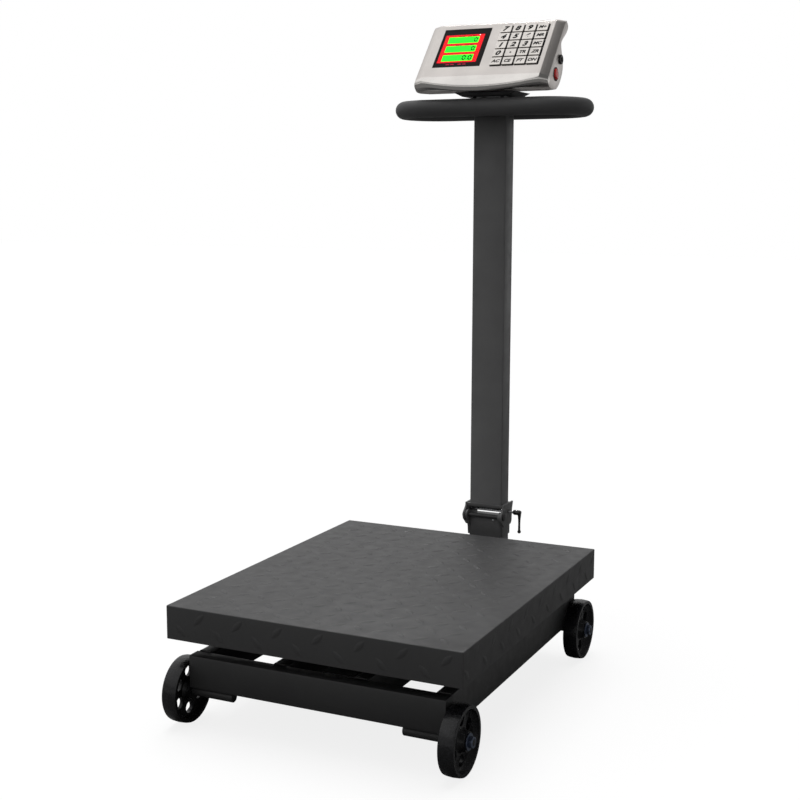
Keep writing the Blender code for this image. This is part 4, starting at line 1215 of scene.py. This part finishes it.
    def case(self) -> None:
        """Split the shell into case, lip and back cover, and cut the openings."""
        shell = self.shell()
        cover = duplicate(shell, "cover_shell")
        lip = duplicate(shell, "case_lip")
        lip_low, lip_high = (-0.2, -0.05, -0.0205), (0.2, 0.0045, 0.01)
        carve(cover, self.cover_cutter(0.0004), "INTERSECT", True)
        carve(lip, block("cut", lip_low, lip_high), "INTERSECT", True)
        carve(shell, self.cover_cutter(0.0), "DIFFERENCE", True)
        carve(shell, block("cut", lip_low, lip_high), "DIFFERENCE", True)
        carve(shell, self.openings(), "DIFFERENCE", True)
        for obj in (shell, cover, lip):
            self.set_up(obj)
        for node, radius in (("power_switch", self.rocker_radius + 0.0008),
                             ("charge_socket", self.socket_radius + 0.0003)):
            _, y, z = middle(node)
            hole = rod("hole", radius, (self.case_half - 0.006, y, z), (self.case_half + 0.01, y, z), 40)
            carve(shell, hole, "DIFFERENCE", True)
        for obj in (shell, cover, lip):
            soften(obj, 22.0)
        dress(shell, Finish.BRUSHED, Body.MAST, "indicator_case")
        dress(lip, Finish.POLISHED, Body.MAST)
        dress(cover, Finish.COVER, Body.MAST, "back_cover")

    def segment(self, low: tuple[float, float], high: tuple[float, float], base: float) -> bpy.types.Object:
        """One bar of a digit, its ends cut to points."""
        width = min(high[0] - low[0], high[1] - low[1])
        return plate("bar", low, high, base, base + self.print_step, width * 0.45, 1)

    def digit(self, x: float, y: float, height: float, base: float) -> list[bpy.types.Object]:
        """The six bars of a seven-segment nought round a middle."""
        width, bar, gap = height * 0.66, height * 0.22, height * 0.01
        left, right, low, high = x - width / 2, x + width / 2, y - height / 2, y + height / 2
        bars = []
        for across in (low, high - bar):
            bars.append(self.segment((left + bar * 0.6, across), (right - bar * 0.6, across + bar), base))
        for along in (left, right - bar):
            for start, end in ((low + bar * 0.6, y - gap), (y + gap, high - bar * 0.6)):
                bars.append(self.segment((along, start), (along + bar, end), base))
        return bars

    def display(self) -> None:
        """The black window, its red border, three green rows, their digits and the small marks."""
        step = self.print_step
        top = -0.0002
        window = plate("window_plate", self.window_low, self.window_high, -0.004, top, 0.003)
        border = plate("display_border", self.border_low, self.border_high, top - step, top + step, 0.001)
        rows, bars = [], []
        left, right = self.row_x
        last, tenth = self.digit_x
        for index, size in enumerate(self.digit_sizes):
            y = self.first_row - index * self.row_pitch
            low, high = (left, y - self.row_height / 2), (right, y + self.row_height / 2)
            rows.append(plate("row", low, high, top, top + 2 * step, 0.0012))
            bars += self.digit(last, y, size, top + 2 * step)
        bars += self.digit(tenth, y, size, top + 2 * step)
        bars.append(self.segment((-0.0463, y - 0.0069), (-0.0447, y - 0.0053), top + 2 * step))
        lamp = plate("display_lamp", (-0.0335, 0.1300), (-0.0305, 0.1325), top, top + 2 * step, 0.0008)
        notes = [plate("note", (x, 0.0398), (x + 0.0085, 0.0422), top - step, top + step, 0.0006)
                 for x in (-0.0905, -0.0795, -0.0620, -0.0510)]
        marks = []
        for y in (self.first_row, self.first_row - self.row_pitch):
            base = y + self.row_height / 2
            for x, size in self.small_marks:
                marks.append(plate("mark", (x, base + 0.0012), (x + size, base + 0.0030),
                                   top, top + 2 * step, 0.0005))
        pieces = ((window, Finish.WINDOW, ("display_window",)), (border, Finish.BORDER, ()),
                  (join("display_rows", rows), Finish.GLASS, ()),
                  (join("display_digits", bars), Finish.DIGIT, ()),
                  (lamp, Finish.LAMP, ()), (join("display_notes", notes), Finish.NOTE, ()),
                  (join("display_marks", marks), Finish.MARK, ()))
        for obj, finish, nodes in pieces:
            dress(self.set_up(obj), finish, Body.MAST, *nodes)

    def key_cap(self) -> bpy.types.Object:
        """One key: a block with round corners, a shallow dish in its top and soft edges."""
        half_x, half_y = self.key_size[0] / 2, self.key_size[1] / 2
        cap = plate("key", (-half_x, -half_y), (half_x, half_y), -self.key_depth, self.key_proud, 0.0012)
        with editing(cap):
            pick_faces(cap, lambda place, normal: normal.z > 0.9)
            bpy.ops.mesh.inset(thickness=0.0012, depth=-0.00015)
        round_edges(cap, 0.0003, 2, 50.0)
        soften(cap, 50.0)
        return cap

    def legend(self, text: str) -> bpy.types.Object:
        """A printed mark, with its middle at the bench's origin.

        Args:
            text: the characters.

        Returns:
            The mark as a thin mesh.
        """
        deselect()
        bpy.ops.object.text_add()
        obj = bpy.context.object
        obj.data.body = text
        obj.data.size = 0.0178 if len(text) == 1 else 0.0118
        obj.data.shear = 0.28
        obj.data.offset = 0.0009 if len(text) == 1 else 0.0005
        obj.data.extrude = 0.00006
        obj.data.resolution_u = 5
        bpy.ops.object.convert(target="MESH")
        obj = bpy.context.object
        obj.name = "legend"
        corners = [vert.co.copy() for vert in obj.data.vertices]
        low = Vector([min(corner[axis] for corner in corners) for axis in range(3)])
        high = Vector([max(corner[axis] for corner in corners) for axis in range(3)])
        wide = 1.15 if len(text) == 1 else 1.05
        obj.data.transform(Matrix.Diagonal((wide, 1.0, 1.0, 1.0)) @ Matrix.Translation(-(low + high) / 2))
        face_out(obj)
        return obj

    def keypad(self) -> None:
        """Twenty keys with their marks, each on its own body, and a painted shadow under each: a dark strip
        along its right and lower side that stands in for the shade the key casts.
        """
        pattern = self.key_cap()
        half_x, half_y = self.key_size[0] / 2, self.key_size[1] / 2
        edges = []
        # Painted shadow: thin dark strips along each key's right and lower side stand in for the shade the
        # keys cast on the panel.
        width, reach, shadow_drop = 0.0031, 0.0004, 0.0026
        for row, column, x, y in self.key_places():
            body = f"key_{row + 1}_{column + 1}"
            cap = duplicate(pattern, f"{body}_cap")
            cap.location = (x, y, 0)
            dress(self.set_up(settle(cap)), Finish.KEY, body, body)
            mark = self.legend(self.legends[row][column])
            mark.name = f"{body}_mark"
            mark.location = (x, y, self.key_proud - 0.00010)
            dress(self.set_up(settle(mark)), Finish.MARK, body)
            low_y, right_x = y - half_y - reach, x + half_x + reach
            edges.append(plate("edge", (x - half_x + 0.001, low_y - shadow_drop), (right_x + width, low_y),
                               -0.0002, 0.00012, 0.0004))
            edges.append(plate("edge", (right_x, low_y), (right_x + width, y + half_y - 0.0005),
                               -0.0002, 0.00012, 0.0004))
        bpy.data.objects.remove(pattern, do_unlink=True)
        # The painted key shadows, joined into one piece in the dark print material.
        dress(self.set_up(join("key_painted_shadows", edges)), Finish.MARK, Body.MAST)

    def switch(self) -> None:
        """The red rocker, domed and tilted on its pivot, in a thin black bezel."""
        joint = next(j for j in frame["joints"] if j["name"] == "power_rocker")
        pivot = Vector(joint["pos_m"])
        radius, proud = self.rocker_radius, self.rocker_proud
        profile = [(0, -0.006), (radius - 0.002, -0.006), (radius, 0.0), (radius - 0.0003, proud - 0.0022),
                   (radius - 0.0018, proud - 0.0008), (radius - 0.005, proud - 0.0002), (0, proud - 0.0006)]
        rocker = turned("rocker_cap", profile, (0, 0, 0), "X", 48, 0.0004)
        rocker.matrix_world = Matrix.Translation(pivot) @ Matrix.Rotation(math.radians(-7.0), 4, "Y")
        dress(settle(rocker), Finish.ROCKER, Body.ROCKER, "power_switch")
        ring = [(0.0134, 0.0002), (0.0150, 0.0002), (0.0148, 0.0010), (0.0138, 0.0010)]
        bezel = turned("rocker_bezel", ring, (self.case_half, pivot.y, pivot.z), "X", 48, 0.0002)
        dress(bezel, Finish.SOCKET, Body.MAST)

    def socket(self) -> None:
        """The charger socket: a flanged collar with a deep hole and the centre pin in it."""
        centre = middle("charge_socket")
        place = (self.case_half, centre.y, centre.z)
        neck = self.socket_radius
        profile = [(0.0046, -0.010), (neck, -0.010), (neck, 0.0003), (0.0105, 0.0003), (0.0105, 0.0028),
                   (neck, 0.0040), (0.0060, 0.0040), (0.0046, 0.0030)]
        collar = turned("socket_collar", profile, place, "X", 48, 0.0003)
        dress(collar, Finish.SOCKET, Body.MAST, "charge_socket")
        pin = turned("socket_pin", [(0, -0.0095), (0.0044, -0.0095), (0.0044, -0.0085), (0.0011, -0.0085),
                                    (0.0011, 0.0005), (0.0007, 0.0010), (0, 0.0010)], place, "X", 24)
        dress(pin, Finish.ZINC, Body.MAST)

    def bracket(self) -> None:
        """The tray under the case, with a nut on each stud over the handle's plate."""
        tray = refined("indicator_tray", "bracket_tray", 0.0006)
        dress(tray, Finish.TRAY_PAINT, Body.MAST, "indicator_tray")
        nuts = []
        plate_top = middle("handle_ring").z + 0.003
        for x in (-self.stud_x, self.stud_x):
            for behind in self.stud_rows:
                y = behind + DECK_FRONT
                nut = rod("nut", 0.0085, (x, y, plate_top + 0.0004), (x, y, plate_top + 0.0058), 6)
                carve(nut, rod("bore", 0.0047, (x, y, plate_top - 0.01), (x, y, plate_top + 0.02), 24))
                round_edges(nut, 0.0005, 2, 40.0)
                soften(nut, 35.0)
                nuts.append(nut)
        dress(join("stud_nuts", nuts), Finish.TRAY_PAINT, Body.MAST)

    def cover_screws(self) -> None:
        """Four pan-head screws in the back cover."""
        screws = []
        for x in (-0.086, 0.086):
            for y, lift, tilt in ((0.0985, -0.0462, -68.0), (0.034, -0.0719, -12.0)):
                profile = [(0, -0.001), (0.0032, -0.001), (0.0032, 0.0006), (0.0022, 0.0015), (0, 0.0018)]
                head = turned("screw", profile, (0, 0, 0), "Z", 24)
                slot = block("slot", (-0.0024, -0.0004, 0.0010), (0.0024, 0.0004, 0.003))
                carve(head, slot)
                head.matrix_world = (Matrix.Translation((x, y, lift)) @ Matrix.Rotation(math.pi, 4, "X")
                                     @ Matrix.Rotation(math.radians(tilt), 4, "X"))
                screws.append(settle(head))
        screw_set = join("cover_screws", screws)
        soften(screw_set, 30.0)
        dress(self.set_up(screw_set), Finish.ZINC, Body.MAST)

    def build(self) -> None:
        """Build the bracket, the case and everything in it."""
        self.bracket()
        self.case()
        self.cover_screws()
        self.display()
        self.keypad()
        self.switch()
        self.socket()


# Studio ------------------------------------------------------------------------------------------


@dataclass
class Studio:
    """A pale floor, a soft sky brighter on the left than on the right, two suns and the camera."""

    camera_place: Point = (1.1161, -1.9708, 0.9857)
    turn: float = 25.373
    tilt: float = 8.623
    roll: float = 0.14
    lens: float = 59.75
    shift: float = -0.0013
    sky_left: float = 0.95
    sky_right: float = 0.12
    horizon: float = 0.36
    horizon_glow: float = 0.66
    floor_lift: float = 0.84
    floor_shade: float = 0.12

    def floor(self) -> None:
        """A wide pale floor, lifted to the backdrop's white where it is seen directly."""
        deselect()
        bpy.ops.mesh.primitive_plane_add(size=40.0, location=(0, 0, 0))
        floor = bpy.context.object
        floor.name = "floor"
        grey = (self.floor_shade, self.floor_shade, self.floor_shade)
        recipe = Recipe("floor_white", grey, 0.95)
        recipe.link(recipe.blend(recipe.noise(0.8), shaded(grey, 0.98), shaded(grey, 1.02)), "Base Color")
        recipe.set("Specular IOR Level", 0.0)
        recipe.set("Emission Color", (1.0, 1.0, 1.0, 1.0))
        seen = recipe.tree.nodes.new("ShaderNodeLightPath").outputs["Is Camera Ray"]
        recipe.link(recipe.scaled(seen, self.floor_lift), "Emission Strength")
        floor.data.materials.append(recipe.material)

    def sun(self, name: str, way: Vector, energy: float, angle: float) -> bpy.types.Object:
        """A sun that shines along a direction.

        Args:
            name: the light's name.
            way: the direction that it shines in.
            energy: its strength.
            angle: how wide it is, in degrees; a wide one casts soft shadows.

        Returns:
            The light.
        """
        deselect()
        bpy.ops.object.light_add(type="SUN", location=(0, 0, 3))
        light = bpy.context.object
        light.name = name
        light.data.energy = energy
        light.data.angle = math.radians(angle)
        light.rotation_euler = way.to_track_quat("-Z", "Y").to_euler()
        return light

    def lights(self) -> None:
        """A faint sun from behind that draws the column's shadow, and a wide one for the paint alone."""
        self.sun("key_sun", Vector((0.48, -1.0, -1.05)), 0.14, 2.0)
        overhead = self.sun("overhead", Vector((0.10, -0.25, -1.0)), 2.9, 50.0)
        overhead.visible_glossy = False

    def camera(self) -> None:
        """The camera, at the place from which the scale is seen."""
        deselect()
        bpy.ops.object.camera_add()
        camera = bpy.context.object
        x, y, z = self.camera_place
        turn = Matrix.Rotation(math.radians(self.turn), 4, "Z")
        tilt = Matrix.Rotation(math.radians(90 - self.tilt), 4, "X")
        roll = Matrix.Rotation(math.radians(self.roll), 4, "Z")
        camera.matrix_world = Matrix.Translation((x, y + DECK_FRONT, z)) @ turn @ tilt @ roll
        camera.data.lens = self.lens
        camera.data.sensor_width = 36.0
        camera.data.shift_y = self.shift
        bpy.context.scene.camera = camera

    def sky(self) -> None:
        """A white backdrop to look at, and a soft sky that is dark on the right and bright on the left."""
        world = bpy.data.worlds.new("studio")
        bpy.context.scene.world = world
        world.use_nodes = True
        tree = world.node_tree
        background = tree.nodes["Background"]
        split = tree.nodes.new("ShaderNodeSeparateXYZ")
        way = tree.nodes.new("ShaderNodeTexCoord").outputs["Generated"]
        tree.links.new(way, split.inputs["Vector"])
        across = self.run(tree, split.outputs["X"], 0.16, -0.14, self.sky_right, self.sky_left)
        height = self.run(tree, split.outputs["Z"], 0.20, 0.55, 0.0, 1.0)
        sky = tree.nodes.new("ShaderNodeMix")
        low_sky = self.run(tree, split.outputs["Z"], 0.04, 0.24, self.horizon_glow, self.horizon)
        tree.links.new(low_sky, sky.inputs["A"])
        tree.links.new(height, sky.inputs["Factor"])
        tree.links.new(across, sky.inputs["B"])
        seen = tree.nodes.new("ShaderNodeMix")
        seen.inputs["B"].default_value = 1.0
        tree.links.new(tree.nodes.new("ShaderNodeLightPath").outputs["Is Camera Ray"], seen.inputs["Factor"])
        tree.links.new(sky.outputs["Result"], seen.inputs["A"])
        background.inputs["Color"].default_value = (1.0, 1.0, 1.0, 1.0)
        tree.links.new(seen.outputs["Result"], background.inputs["Strength"])

    def run(self, tree: bpy.types.NodeTree, source: bpy.types.NodeSocket, start: float, end: float,
            low: float, high: float) -> bpy.types.NodeSocket:
        """A smooth run from low to high as source goes from start to end.

        Args:
            tree: the world's node tree.
            source: the number that drives the run.
            start: source's value where the run starts.
            end: source's value where it ends.
            low: the result at start and before.
            high: the result at end and after.

        Returns:
            The run's output.
        """
        node = tree.nodes.new("ShaderNodeMapRange")
        node.interpolation_type = "SMOOTHSTEP"
        for socket, value in (("From Min", start), ("From Max", end), ("To Min", low), ("To Max", high)):
            node.inputs[socket].default_value = value
        tree.links.new(source, node.inputs["Value"])
        return node.outputs["Result"]

    def build(self) -> None:
        """Set up the studio."""
        bpy.context.scene.view_settings.view_transform = "Standard"
        self.camera()
        self.sky()
        self.floor()
        self.lights()


DECK_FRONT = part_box("deck_plate")[0].y


def main() -> None:
    """Build the studio and every assembly."""
    logging.basicConfig(level=logging.INFO, format="%(message)s")
    assemblies = (Studio(), Deck(), BaseFrame(), RunningGear(), WeighingGear(), Mast(), Handle(),
                  Indicator())
    for assembly in assemblies:
        log.info("building %s", type(assembly).__name__)
        assembly.build()
    for node, finish in (("circuit_board", Finish.BOARD), ("battery", Finish.BATTERY)):
        repaint(node, finish)


if __name__ == "__main__":
    main()
